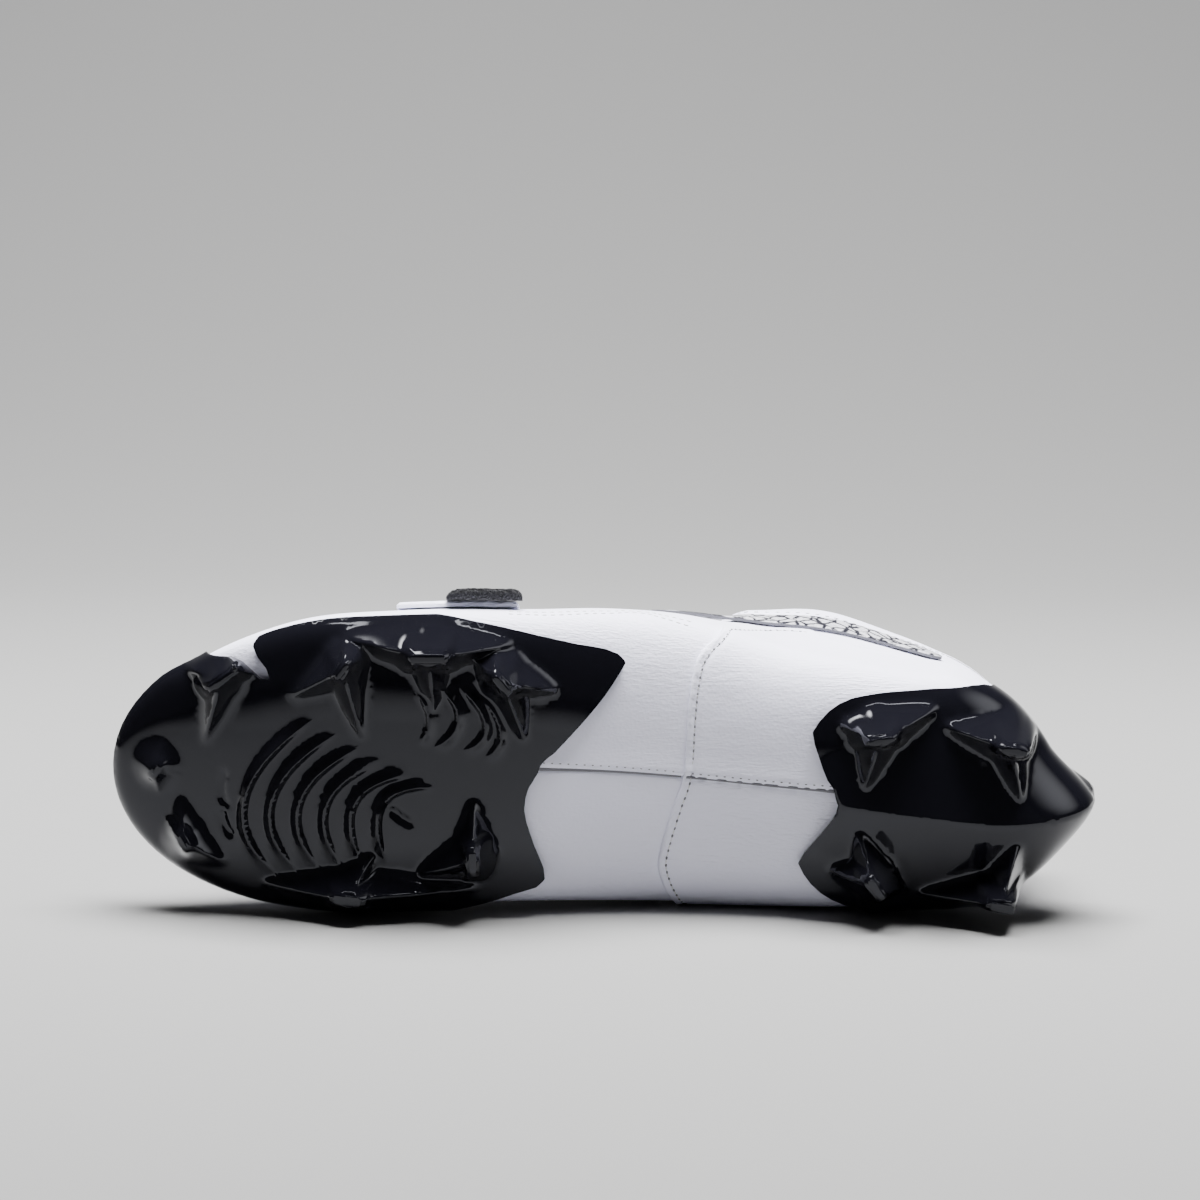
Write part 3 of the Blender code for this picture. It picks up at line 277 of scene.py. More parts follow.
def surface(s, g, side):
    """The last's point at station s and girth g."""
    s, g, side = np.broadcast_arrays(*(np.asarray(v, float) for v in (s, g, side)))
    wide_x, wide_y = outline(s, side)
    hub_x, hub_y = hub(s)
    turn = np.clip(g, 0, 1) * math.pi / 2
    flat = 2 / last("flat", wide_x)
    out = np.sin(turn) ** flat
    low_x = hub_x + (wide_x - hub_x) * out
    low_y = hub_y + (wide_y - hub_y) * out
    under = last("under", low_x)
    low_z = under + (last("widest", low_x) - under) * (1 - np.cos(turn) ** flat)
    edge_x, edge_y, edge_z, part = top_edge(s, side)
    whole = np.arcsin(part)
    angle = np.clip(g - 1, 0, 1) * whole
    inward = (1 - np.cos(angle)) / (1 - np.cos(whole))
    up = np.sin(angle) / part
    high_x = wide_x + (edge_x - wide_x) * inward
    high_y = wide_y + (edge_y - wide_y) * inward
    over_toe = s > 2
    start_z = np.where(over_toe, last("widest", high_x), last("widest", wide_x))
    end_z = np.where(over_toe, last("ridge", high_x), edge_z)
    high_z = start_z + (end_z - start_z) * up
    low = np.stack([low_x, low_y, low_z], axis=-1)
    high = np.stack([high_x, high_y, high_z], axis=-1)
    return np.where((g > 1)[..., None], high, low)


def normal(s, g, side):
    """The last's outward direction at station s and girth g."""
    s, g, side = np.broadcast_arrays(*(np.asarray(v, float) for v in (s, g, side)))
    small = 1e-3
    inside = np.clip(g, 0.02, 1.98)
    ahead = surface(np.minimum(s + small, 3), inside, side)
    along = ahead - surface(np.maximum(s - small, 0), inside, side)
    around = surface(s, np.minimum(inside + small, 2), side) - surface(s, inside - small, side)
    out = unit(np.cross(around, along) * side[..., None])
    on_line = (g < 1e-6)[..., None]
    return np.where(on_line, unit(out * (1.0, 0.0, 1.0)), out)


def skin(s, g, side, lift):
    """The point that lies lift outside the last."""
    lift = np.asarray(lift, float)
    return surface(s, g, side) + normal(s, g, side) * lift[..., None]


def station(x, y):
    """The station and side that the plan point x, y runs out to from its hub."""
    x, y = np.asarray(x, float), np.asarray(y, float)
    start, end = LENGTH * HEEL_CENTRE, LENGTH * TOE_CENTRE
    s = 1 + np.clip((x - start) / (end - start), 0, 1)
    side = np.where(y >= hub(s)[1], 1.0, -1.0)
    for low, tip, edge, centre in ((0, 0, x < start, start), (2, 3, x > end, end)):
        steps = np.linspace(low, low + 1, 60)
        centre_y = float(last("middle", centre))
        tip_x, tip_y = (float(v) for v in outline(tip, 1))
        turn = (tip_x - centre) * (y - centre_y) - (tip_y - centre_y) * (x - centre)
        side = np.where(edge, np.where(turn * (tip_x - centre) >= 0, 1.0, -1.0), side)
        for hand in SIDES:
            wide_x, wide_y = outline(steps, hand)
            wanted = np.arctan2(np.abs(x - centre), hand * (y - centre_y))
            bearing = np.arctan2(np.abs(wide_x - centre), hand * (wide_y - centre_y))
            order = np.argsort(bearing)
            found = np.interp(wanted, bearing[order], steps[order])
            s = np.where(edge & (side == hand), found, s)
    return s, side


def spokes(s, side):
    """The hub of each station, the way out from it to the widest line and how far that is."""
    wide_x, wide_y = outline(s, side)
    foot = np.stack(hub(s), axis=-1)
    away = np.stack([wide_x, wide_y], axis=-1) - foot
    radius = np.linalg.norm(away, axis=-1)
    return foot, away / radius[:, None], radius


def spot(x, y, lift):
    """The station, girth and side whose skin at that lift lies over the plan point x, y.

    Beyond the widest line a plan point stands for one as far up the wall.
    """
    s, side = station(x, y)
    foot, _, radius = spokes(s, side)
    share = np.hypot(x - foot[:, 0], y - foot[:, 1]) / (radius + lift)
    wide_x, _ = outline(s, side)
    low_g = np.arcsin(np.clip(share, 0, 1) ** (last("flat", wide_x) / 2)) * 2 / math.pi
    _, _, edge_z, part = top_edge(s, side)
    rise = np.clip((share - 1) * radius / (edge_z - last("widest", wide_x)), 0, 0.99)
    high_g = 1 + np.arcsin(rise * part) / np.arcsin(part)
    return s, np.where(share > 1, high_g, low_g), side


def plan_of(place, lift):
    """The plan point that spot would turn into this place."""
    s, g, side = place
    foot, way, radius = spokes(s, side)
    wide_x, _ = outline(s, side)
    share = np.sin(np.clip(g, 0, 1) * math.pi / 2) ** (2 / last("flat", wide_x))
    _, _, edge_z, part = top_edge(s, side)
    rise = np.sin(np.clip(g - 1, 0, 1) * np.arcsin(part)) / part
    share = share + rise * (edge_z - last("widest", wide_x)) / radius
    return foot + way * (share * (radius + lift))[:, None]


def girth_lengths(s, side, most, count):
    """The way along the last from the bottom's middle line out to each of an even row of girths."""
    steps = np.linspace(0, 1, count)[:, None] * most
    return steps, way_along(surface(s[None], steps, side[None]))


def unroll(place):
    """Flat points for places on the last, with the wall laid out to its true length."""
    s, g, side = place
    foot, way, _ = spokes(s, side)
    _, lengths = girth_lengths(s, side, np.asarray(g)[None], 33)
    return foot + way * lengths[-1][:, None]


def fold(points):
    """The places on the last that unroll to these flat points."""
    s, side = station(points[:, 0], points[:, 1])
    foot, _, _ = spokes(s, side)
    away = np.linalg.norm(points - foot, axis=1)
    steps, lengths = girth_lengths(s, side, 1.9, 64)
    return s, look_up(away, lengths, steps), side


def flat_of(points, lift):
    """Flat points for the places whose skin at that lift lies over these plan points."""
    return unroll(spot(points[:, 0], points[:, 1], lift))


def triangulate(ring, inner_points, creases):
    """Triangles inside a ring of plan points, with the ring first in the list of points."""
    points = [Vector(p) for p in ring]
    edges = [(i, (i + 1) % len(ring)) for i in range(len(ring))]
    for crease in creases:
        start = len(points)
        points += [Vector(p) for p in crease]
        edges += [(start + i, start + i + 1) for i in range(len(crease) - 1)]
    points += [Vector(p) for p in inner_points]
    verts, _, faces, origins, _, _ = delaunay_2d_cdt(points, edges, [], 1, 1e-7)
    place = {}
    for index, found in enumerate(origins):
        for origin in found:
            place[origin] = index
    order = [place[i] for i in range(len(ring))]
    taken = set(order)
    order += [i for i in range(len(verts)) if i not in taken]
    rank = {old: new for new, old in enumerate(order)}
    plan = np.array([verts[i] for i in order])
    return plan, [tuple(rank[i] for i in face) for face in faces]


def inside_ring(points, ring):
    """Whether each plan point lies inside the ring."""
    x, y = points[:, 0], points[:, 1]
    within = np.zeros(len(points), bool)
    for a, b in zip(ring, np.roll(ring, -1, axis=0), strict=True):
        crosses = (a[1] > y) != (b[1] > y)
        slope = (b[0] - a[0]) / np.where(b[1] == a[1], 1, b[1] - a[1])
        within ^= crosses & (x < a[0] + slope * (y - a[1]))
    return within


def filling(ring, spacing, creases):
    """Plan points in a triangular pattern inside the ring, clear of its edge and of the creases."""
    low, high = ring.min(axis=0), ring.max(axis=0)
    rows = []
    for i, y in enumerate(np.arange(low[1], high[1], spacing * math.sqrt(3) / 2)):
        across = np.arange(low[0] + (i % 2) * spacing / 2, high[0], spacing)
        rows.append(np.stack([across, np.full(len(across), y)], axis=1))
    points = np.concatenate(rows)
    points = points[inside_ring(points, ring)]
    near = np.concatenate([ring, *creases])
    gap = np.linalg.norm(points[:, None] - near[None], axis=2).min(axis=1)
    return points[gap > 0.55 * spacing]


def even(path, spacing, closed=False):
    """A path's points again, evenly spaced."""
    path = np.asarray(path, float)
    if closed:
        path = looped(path)
    steps = way_along(path)
    count = max(2, round(steps[-1] / spacing) + 1)
    at = np.linspace(0, steps[-1], count)
    even_path = np.stack([np.interp(at, steps, path[:, i]) for i in range(path.shape[1])], axis=1)
    return even_path[:-1] if closed else even_path


def plan(rows):
    """Plan points from rows of shares of LENGTH and BALL_WIDTH."""
    return np.asarray(rows, float) * (LENGTH, BALL_WIDTH)


def smooth(rows):
    """Plan points along a smooth curve through a few rows of shares."""
    rows = plan(rows)
    knots = way_along(rows)
    at = np.linspace(0, knots[-1], 12 * len(rows))
    return np.stack([curve(knots, rows[:, i], at) for i in range(2)], axis=1)


def rim(stations, side, lift, share):
    """Plan points along the widest line at that lift, each at its share of the way out to it."""
    wide_x, wide_y = outline(stations, side)
    foot_x, foot_y = hub(stations)
    away_x, away_y = wide_x - foot_x, wide_y - foot_y
    radius = np.hypot(away_x, away_y)
    scale = share * (1 + lift / radius)
    return np.stack([foot_x + away_x * scale, foot_y + away_y * scale], axis=1)


# Studs, a row each. tip is the flat end's middle, its length, its width and its turn in degrees;
# apex, fore and aft are the ends of the blades that run down from it. Places are shares of LENGTH
# and BALL_WIDTH, lengths are shares of BALL_WIDTH.
STUD_COLUMNS = ("tip", "tall", "long", "wide", "turn", "apex", "fore", "aft")
FOREFOOT_STUDS = (
    ((0.885, 0.290), 0.80, 0.130, 0.022, 144, (0.906, 0.045), (0.928, 0.290), (0.869, 0.335)),
    ((0.957, -0.050), 0.38, 0.050, 0.016, 120, (0.935, -0.075), (0.950, 0.045), (0.955, -0.140)),
    ((0.928, -0.290), 0.60, 0.060, 0.018, 60, (0.932, -0.150), (0.948, -0.225), (0.884, -0.380)),
    ((0.758, 0.345), 1.00, 0.080, 0.026, 126, (0.740, 0.080), (0.815, 0.225), (0.735, 0.425)),
    ((0.673, 0.385), 1.00, 0.125, 0.040, 180, (0.669, 0.180), (0.765, 0.435), (0.590, 0.400)),
    ((0.600, 0.300), 1.00, 0.085, 0.026, 229, (0.578, 0.070), (0.630, 0.360), (0.545, 0.240)),
    ((0.755, -0.460), 1.00, 0.110, 0.040, 5, (0.730, -0.330), (0.850, -0.440), (0.622, -0.455)),
    ((0.630, -0.330), 1.00, 0.090, 0.032, 90, (0.630, -0.140), (0.690, -0.410), (0.610, -0.400)),
)
HEEL_STUDS = (
    ((0.219, 0.110), 1.00, 0.100, 0.028, 170, (0.232, -0.095), (0.258, 0.130), (0.160, 0.185)),
    ((0.085, 0.070), 1.00, 0.100, 0.032, 194, (0.075, -0.145), (0.155, 0.130), (0.062, 0.100)),
    ((0.223, -0.420), 1.00, 0.090, 0.032, 235, (0.238, -0.250), (0.266, -0.400), (0.190, -0.470)),
    ((0.097, -0.470), 1.00, 0.090, 0.036, 185, (0.078, -0.290), (0.180, -0.480), (0.070, -0.400)),
)
BLADE_EDGE = 0.0018
BLADE_FLANK = 0.0070
TIP_FLANK = 0.0052
BLADE_FALL = 0.85
FLANK_HOLLOW = 1.5
BLADE_JOIN = 6
CREASE_CLEAR = 0.0012
RIM_FADE = 0.82
RIM_THINNING = 0.0013
THIN_GIRTHS = (0.55, 0.95)
THIN_STATIONS = (2.45, 2.60)

RIB_COUNT = 6
RIB_TOP = (0.791, 0.150)
RIB_MIDDLE = (0.862, -0.147)
RIB_BOTTOM = (0.830, -0.420)
RIB_STEP = ((-0.0248, -0.049), (-0.0286, 0.0), (-0.0225, 0.010))
RIB_GENTLE = 0.0030
RIB_STEEP = 0.0011
GENTLE_HOLLOW = 1.2
RIB_ENDS = 0.3
SIDE_RIB_HEIGHT = 0.8
SIDE_RIBS = (
    ((0.687, 0.250), (0.674, 0.152), (0.683, 0.057)),
    ((0.664, 0.263), (0.645, 0.152), (0.669, 0.044)),
    ((0.644, 0.267), (0.618, 0.128), (0.640, 0.030)),
    ((0.625, 0.240), (0.603, 0.105), (0.618, 0.000)),
)
SLOTS = (
    ((0.885, -0.057), (0.888, -0.115), (0.884, -0.165)),
    ((0.888, -0.196), (0.886, -0.235), (0.880, -0.270)),
    ((0.710, -0.175), (0.703, -0.197), (0.694, -0.219)),
)
SLOT_DEEP = 0.0014
SLOT_HALF = 0.0013
SLOT_HOLLOW = 0.6

KEEL = ((0.245, -0.165), (0.160, -0.200), (0.080, -0.225), (0.020, -0.200), (-0.030, -0.170))
KEEL_COLUMNS = ("at", "height", "reach")
KEEL_SIZES = (
    (-0.040, 0.0015, 0.010),
    (-0.005, 0.0085, 0.0115),
    (0.030, 0.0078, 0.0165),
    (0.070, 0.0064, 0.0240),
    (0.140, 0.0060, 0.0270),
    (0.245, 0.0034, 0.0180),
)
KEEL_HOLLOW = 1.25


def bend(start, middle, end, count):
    """Points along a curve from start to end that passes its middle point half way."""
    t = np.linspace(0, 1, count)[:, None]
    start, middle, end = (np.asarray(p, float) for p in (start, middle, end))
    control = 2 * middle - (start + end) / 2
    return (1 - t) ** 2 * start + 2 * t * (1 - t) * control + t**2 * end


def rib_line(i, count):
    """Plan points along one of the crescent ribs."""
    starts = np.array((RIB_TOP, RIB_MIDDLE, RIB_BOTTOM))
    return plan(bend(*(starts + np.multiply(RIB_STEP, i)), count))


def read_stud(row):
    """A stud's tip corners and blades in metres."""
    stud = dict(zip(STUD_COLUMNS, row, strict=True))
    tip = plan(stud["tip"])
    turn = math.radians(stud["turn"])
    along = np.array([math.cos(turn), math.sin(turn)]) * stud["long"] * BALL_WIDTH / 2
    across = np.array([-math.sin(turn), math.cos(turn)]) * stud["wide"] * BALL_WIDTH / 2
    ends = tip + along, tip - along
    corners = np.array([ends[0] + across, ends[0] - across, ends[1] - across, ends[1] + across])
    blades = []
    for end in ("apex", "fore", "aft"):
        finish_at = plan(stud[end])
        blades.append(bend(tip, (tip + finish_at) / 2, finish_at, 9))
    return corners, blades


def path_distance(points, path):
    """Each point's distance from a path, and how far along the path that is, from 0 to 1."""
    steps = way_along(path)
    best = np.full(len(points), np.inf)
    where = np.zeros(len(points))
    for i in range(len(path) - 1):
        leg = path[i + 1] - path[i]
        t = np.clip((points - path[i]) @ leg / (leg @ leg), 0, 1)
        away = np.linalg.norm(points - path[i] - t[:, None] * leg, axis=1)
        near = away < best
        best = np.where(near, away, best)
        where = np.where(near, (steps[i] + t * (steps[i + 1] - steps[i])) / steps[-1], where)
    return best, where


def stud_share(points, studs):
    """How much of the way to the ground the studs reach at each plan point, from 0 to 1."""
    share = np.zeros(len(points))
    for row in studs:
        corners, blades = read_stud(row)
        away, _ = path_distance(points, looped(corners))
        on_tip = inside_ring(points, corners) | (away < 1e-6)
        total = np.clip(1 - away / TIP_FLANK, 0, 1) ** (FLANK_HOLLOW * BLADE_JOIN)
        for blade in blades:
            away, where = path_distance(points, blade)
            crest_share = (1 - where) ** BLADE_FALL
            width = BLADE_EDGE + BLADE_FLANK * crest_share
            total += (crest_share * np.clip(1 - away / width, 0, 1) ** FLANK_HOLLOW) ** BLADE_JOIN
        joined = np.where(on_tip, 1, np.minimum(total ** (1 / BLADE_JOIN), 1))
        share = np.maximum(share, row[STUD_COLUMNS.index("tall")] * joined)
    return share


def stud_creases(studs):
    """The lines that the triangles follow: round each tip and down each blade."""
    lines = []
    for row in studs:
        corners, blades = read_stud(row)
        lines.append(looped(corners))
        tip = corners.mean(axis=0)
        clear = np.linalg.norm(corners[0] - tip) + CREASE_CLEAR
        for blade in blades:
            outside = blade[np.linalg.norm(blade - tip, axis=1) > clear][::2]
            if len(outside) > 1:
                lines.append(outside)
    return lines


def stud_drop(place, lift, share, ground):
    """How far the skin at that lift is drawn down by a share of its height over the ground."""
    return share * np.maximum(skin(*place, lift)[:, 2] - ground, 0)


def rib_share(points, path, steep):
    """The height of a rib along a path, from 0 to 1, with its steep flank on one hand."""
    away, where = path_distance(points, path)
    order = np.argsort(path[:, 1])
    ahead = points[:, 0] - np.interp(points[:, 1], path[order, 1], path[order, 0])
    steep_flank = np.clip(1 - away / RIB_STEEP, 0, 1)
    gentle_flank = np.clip(1 - away / RIB_GENTLE, 0, 1) ** GENTLE_HOLLOW
    flank = np.where(ahead * steep > 0, steep_flank, gentle_flank)
    return ease(0, RIB_ENDS, where) * ease(0, RIB_ENDS, 1 - where) * flank


def side_rib(rows, count):
    """Plan points along a curve through three rows of shares."""
    return bend(*(plan(row) for row in rows), count)


def thinned(place):
    """How much thinner the forefoot plate is where it climbs the outer side behind the toe."""
    s, g, side = place
    return RIM_THINNING * ease(*THIN_GIRTHS, g) * (1 - ease(*THIN_STATIONS, s)) * (side > 0)


def forefoot_top(points, place):
    """The forefoot plate's lift at each plan point, with its ribs, and the drop of its studs."""
    ground = np.maximum(last("under", points[:, 0]) - STAND, 0) * (points[:, 0] > TOE_CENTRE * LENGTH)
    share = stud_share(points, FOREFOOT_STUDS) * (1 - ease(RIM_FADE, 1.0, place[1]))
    drop = stud_drop(place, FOREFOOT_LIFT, share, ground)
    rib = np.zeros(len(points))
    for i in range(RIB_COUNT):
        rib = np.maximum(rib, rib_share(points, rib_line(i, 24), -1))
    for rows in SIDE_RIBS:
        rib = np.maximum(rib, SIDE_RIB_HEIGHT * rib_share(points, side_rib(rows, 16), 1))
    slot = np.zeros(len(points))
    for rows in SLOTS:
        away, _ = path_distance(points, side_rib(rows, 8))
        slot = np.maximum(slot, np.clip(1 - away / SLOT_HALF, 0, 1) ** SLOT_HOLLOW)
    free = 1 - ease(0, RIB_HEIGHT, drop)
    return FOREFOOT_LIFT - thinned(place) + (RIB_HEIGHT * rib - SLOT_DEEP * slot) * free, drop


def heel_top(points, place):
    """The heel plate's lift at each plan point, with its keel and rear spur, and the drop of its studs."""
    drop = stud_drop(place, HEEL_LIFT, stud_share(points, HEEL_STUDS), 0)
    sizes = read(KEEL_SIZES, KEEL_COLUMNS)
    away, _ = path_distance(points, smooth(KEEL))
    at = points[:, 0] / LENGTH
    tall = curve(sizes["at"], sizes["height"], at)
    reach = curve(sizes["at"], sizes["reach"], at)
    keel = tall * np.clip(1 - away / reach, 0, 1) ** KEEL_HOLLOW
    return HEEL_LIFT + keel, drop


RING_STEP = 0.0040
NOTCH = (
    (0.857, 0.402), (0.855, 0.380), (0.845, 0.330), (0.835, 0.290),
    (0.840, 0.270), (0.849, 0.281), (0.862, 0.320), (0.876, 0.351),
)
FOREFOOT_INNER_EDGE = ((0.640, -0.527), (0.615, -0.508), (0.590, -0.482), (0.567, -0.460))
FOREFOOT_REAR = (
    (0.559, -0.447), (0.559, -0.412), (0.570, -0.300), (0.579, -0.160), (0.571, -0.070),
    (0.544, 0.039), (0.519, 0.131), (0.497, 0.219), (0.477, 0.318),
)
FOREFOOT_OUTER_EDGE = ((0.475, 0.335), (0.487, 0.357), (0.529, 0.392), (0.604, 0.455))
HEEL_INNER_EDGE = ((0.297, -0.379), (0.291, -0.421), (0.279, -0.471), (0.258, -0.518), (0.230, -0.545))
HEEL_OUTER_EDGE = (
    (0.170, 0.238), (0.227, 0.224), (0.245, 0.213), (0.262, 0.185), (0.276, 0.139), (0.284, 0.097),
)
HEEL_FRONT = (
    (0.284, 0.080), (0.270, -0.058), (0.2575, -0.150), (0.2575, -0.172),
    (0.266, -0.225), (0.282, -0.301), (0.295, -0.360),
)


HEEL_CLIMB = {1: 0.35, -1: 0.30}
HEEL_CLIMB_ROUND = 1.5
HEEL_OUTER_SHARE = 0.95
FOREFOOT_OUTER_SHARE = 0.975


def forefoot_ring():
    """The forefoot plate's outline, as plan points."""
    inner = rim(np.linspace(2.95, 1.86, 24), -1, FOREFOOT_LIFT, 1.0)
    outer = rim(np.linspace(1.86, 2.26, 12), 1, FOREFOOT_LIFT, FOREFOOT_OUTER_SHARE)
    toe = rim(np.linspace(2.43, 3.0, 14), 1, FOREFOOT_LIFT, 1.0)
    rear = [smooth(rows) for rows in (FOREFOOT_INNER_EDGE, FOREFOOT_REAR, FOREFOOT_OUTER_EDGE)]
    return even(np.concatenate([toe, inner, *rear, outer, smooth(NOTCH)]), RING_STEP, closed=True)


def heel_ring():
    """The heel plate's outline, as plan points: it climbs the wall behind the heel."""
    inner_s = np.linspace(1.12, 0, 22)
    outer_s = np.linspace(0.04, 0.80, 16)
    inner_climb = HEEL_CLIMB[-1] * (1 - np.clip(inner_s, 0, 1)) ** HEEL_CLIMB_ROUND
    outer_climb = HEEL_CLIMB[1] * (1 - outer_s) ** HEEL_CLIMB_ROUND
    inner = rim(inner_s, -1, HEEL_LIFT, 1.0 + inner_climb)
    outer = rim(outer_s, 1, HEEL_LIFT, HEEL_OUTER_SHARE + outer_climb)
    front = [smooth(rows) for rows in (HEEL_OUTER_EDGE, HEEL_FRONT)]
    return even(np.concatenate([smooth(HEEL_INNER_EDGE), inner, outer, *front]), RING_STEP, closed=True)


def arch(x, turn, side):
    """The whole instep, as if the throat were closed, from turn 0 at the widest line up to the ridge."""
    x, turn, side = np.broadcast_arrays(x, turn, side)
    low = last("widest", x)
    reach = np.abs(last("middle", x) + side * half_width(x, side) - crest(x))
    y = crest(x) + side * reach * np.cos(turn)
    z = low + (last("ridge", x) - low) * np.sin(turn)
    return np.stack([x, y, z], axis=-1)


def arch_lengths(x, side):
    """The way down the closed instep from its ridge, at an even row of turns."""
    turns = np.linspace(math.pi / 2, 0, 60)[:, None]
    return turns, way_along(arch(x[None], turns, side[None]))


def down_instep(x, share, side):
    """Flat points of x and the way from the ridge, at a share of the whole way to the widest line."""
    x = np.asarray(x, float)
    _, lengths = arch_lengths(x, np.full(len(x), float(side)))
    return np.stack([x, side * share * lengths[-1]], axis=1)


def instep_skin(points, lift):
    """The point that lies lift outside the closed instep, for flat points of x and the way from the ridge."""
    x, around = points[:, 0], points[:, 1]
    side = np.where(around >= 0, 1.0, -1.0)
    turns, lengths = arch_lengths(x, side)
    turn = look_up(np.abs(around), lengths, turns)
    small = 1e-4
    along = arch(x + small, turn, side) - arch(x - small, turn, side)
    about = arch(x, turn + small, side) - arch(x, turn - small, side)
    out = unit(np.cross(about, along) * side[:, None])
    return arch(x, turn, side) + out * np.asarray(lift)[..., None]


LACE_ROWS = (0.448, 0.488, 0.528, 0.568, 0.608, 0.648)
LACE_INSET = 0.0085
LACE_LIFT = FACING_STEP + GAP + SLACK
STRAP_CLEAR = LACE_LIFT + LACE_THICKNESS + GAP
STRAP_FRONT = 0.708
STRAP_NARROWING = 0.0035
STRAP_EDGE = 0.0012
STRAP_GROOVE = 0.00025
STRAP_GROOVE_INSET = 0.0026
STRAP_GROOVE_HALF = 0.00035
STRAP_FALL_FROM = 0.001
STRAP_FALL_TO = 0.012
STRAP_OUTER = 0.93
STRAP_INNER = 0.70
TAB_FROM = 0.80
TAB_TO = 0.97
TAB_INSET = 0.002
TAB_THICKNESS = 0.0006
TAB_CURL = TAB_REACH - 0.0032
TAB_FUZZ = 0.00012
TONGUE_EDGE = 0.004
BAND_ROUND = 0.0008

# The band's middle line: its place as a share of LENGTH, its height over the stand as one of HEEL_HEIGHT
BAND_LINE = (
    (0.150, 0.690), (0.190, 0.722), (0.235, 0.732), (0.280, 0.722),
    (0.330, 0.705), (0.420, 0.665), (0.500, 0.670),
)


def ribbon(path, half):
    """The outline of a flat ribbon along a path of flat points."""
    legs = np.diff(path, axis=0)
    across = unit(np.stack([-legs[:, 1], legs[:, 0]], axis=1))
    before, after = across[:-1], across[1:]
    corners = (before + after) / (1 + (before * after).sum(axis=1))[:, None]
    offset = half * np.concatenate([across[:1], corners, across[-1:]])
    return np.concatenate([path + offset, (path - offset)[::-1]])


def strap_base(points):
    """The strap's lift: clear of the laces and the facings over the throat, near the wall beside them."""
    away = np.abs(points[:, 1])
    over = THROAT_WIDTH / 2 + FACING_WIDTH
    fallen = ease(over + STRAP_FALL_FROM, over + STRAP_FALL_TO, away)
    return GAP + SLACK + (STRAP_CLEAR - GAP - SLACK) * (1 - fallen)


def band_spot(points):
    """The places on the outer wall of flat points of x and the way up from the band's middle line."""
    rows = np.array(BAND_LINE)
    x = points[:, 0]
    s = 1 + (x / LENGTH - HEEL_CENTRE) / (TOE_CENTRE - HEEL_CENTRE)
    side = np.ones(len(x))
    steps = np.linspace(1, 2, 60)[:, None]
    wall = surface(s[None], steps, side[None])
    wanted = STAND + HEEL_HEIGHT * curve(rows[:, 0], rows[:, 1], x / LENGTH)
    middle = look_up(wanted, wall[:, :, 2], steps)
    tall = np.linalg.norm(np.diff(wall, axis=0), axis=-1).sum(axis=0)
    return s, middle + points[:, 1] / tall, side


def linked(name, data):
    """A new object of the scene."""
    made = bpy.data.objects.new(name, data)
    bpy.context.scene.collection.objects.link(made)
    return made


def shoe_mesh(name, points, faces):
    """A mesh of points in the shoe's frame, laid down with the shoe."""
    turn = np.array(REST)
    placed = np.asarray(points) @ turn[:3, :3].T + turn[:3, 3]
    data = bpy.data.meshes.new(name)
    data.from_pydata([tuple(p) for p in placed], [], [tuple(f) for f in faces])
    return data


def add(name, data, material, nodes=(), sharp=None):
    """A piece of the shoe with its material, that rides with it and stands for these nodes."""
    data.materials.append(material)
    data.shade_smooth()
    if sharp is not None:
        data.set_sharp_from_angle(angle=math.radians(sharp))
    piece = linked(name, data)
    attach(piece, "root")
    if nodes:
        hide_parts(*nodes)
    return piece


def face_out(data):
    """Turns a closed mesh's faces outward."""
    mesh = bmesh.new()
    mesh.from_mesh(data)
    bmesh.ops.remove_doubles(mesh, verts=mesh.verts, dist=1e-6)
    bmesh.ops.recalc_face_normals(mesh, faces=mesh.faces)
    if mesh.calc_volume(signed=True) < 0:
        bmesh.ops.reverse_faces(mesh, faces=mesh.faces)
    mesh.to_mesh(data)
    mesh.free()


def closed(name, outer, outer_faces, inner, inner_faces, ring_size):
    """A mesh of two skins and the wall round their ring."""
    count = len(outer)
    faces = [tuple(f) for f in outer_faces]
    faces += [tuple(count + i for i in reversed(f)) for f in inner_faces]
    for i in range(ring_size):
        j = (i + 1) % ring_size
        faces.append((i, count + i, count + j, j))
    data = shoe_mesh(name, np.concatenate([outer, inner]), faces)
    face_out(data)
    return data


# Materials

def shader_of(name, colour, roughness, **sockets):
    """A material and its shader, with even values on the shader's own sockets."""
    made = bpy.data.materials.new(name)
    made.use_nodes = True
    shader = made.node_tree.nodes["Principled BSDF"]
    shader.inputs["Base Color"].default_value = (*colour, 1)
    shader.inputs["Roughness"].default_value = roughness
    for key, value in sockets.items():
        shader.inputs[key.replace("_", " ")].default_value = value
    return made, shader


def node(made, kind, inputs=None, **settings):
    """A node with its settings, its values and its links."""
    new = made.node_tree.nodes.new(kind)
    for key, value in settings.items():
        setattr(new, key, value)
    for key, value in (inputs or {}).items():
        if isinstance(value, bpy.types.NodeSocket):
            made.node_tree.links.new(value, new.inputs[key])
        else:
            new.inputs[key].default_value = value
    return new


def place(made, stretch=(1, 1, 1)):
    """Coordinates in metres, stretched."""
    where = node(made, "ShaderNodeTexCoord").outputs["Object"]
    return node(made, "ShaderNodeMapping", {"Vector": where, "Scale": stretch}).outputs["Vector"]


def noise(made, scale, stretch=(1, 1, 1), detail=3.0, distortion=0.0):
    vector = place(made, stretch)
    made_noise = node(made, "ShaderNodeTexNoise",
                      {"Vector": vector, "Scale": scale, "Detail": detail, "Distortion": distortion})
    return made_noise.outputs["Fac"]


def cells(made, scale, feature="F1", stretch=(1, 1, 1)):
    vector = place(made, stretch)
    made_cells = node(made, "ShaderNodeTexVoronoi", {"Vector": vector, "Scale": scale}, feature=feature)
    return made_cells.outputs["Distance"]


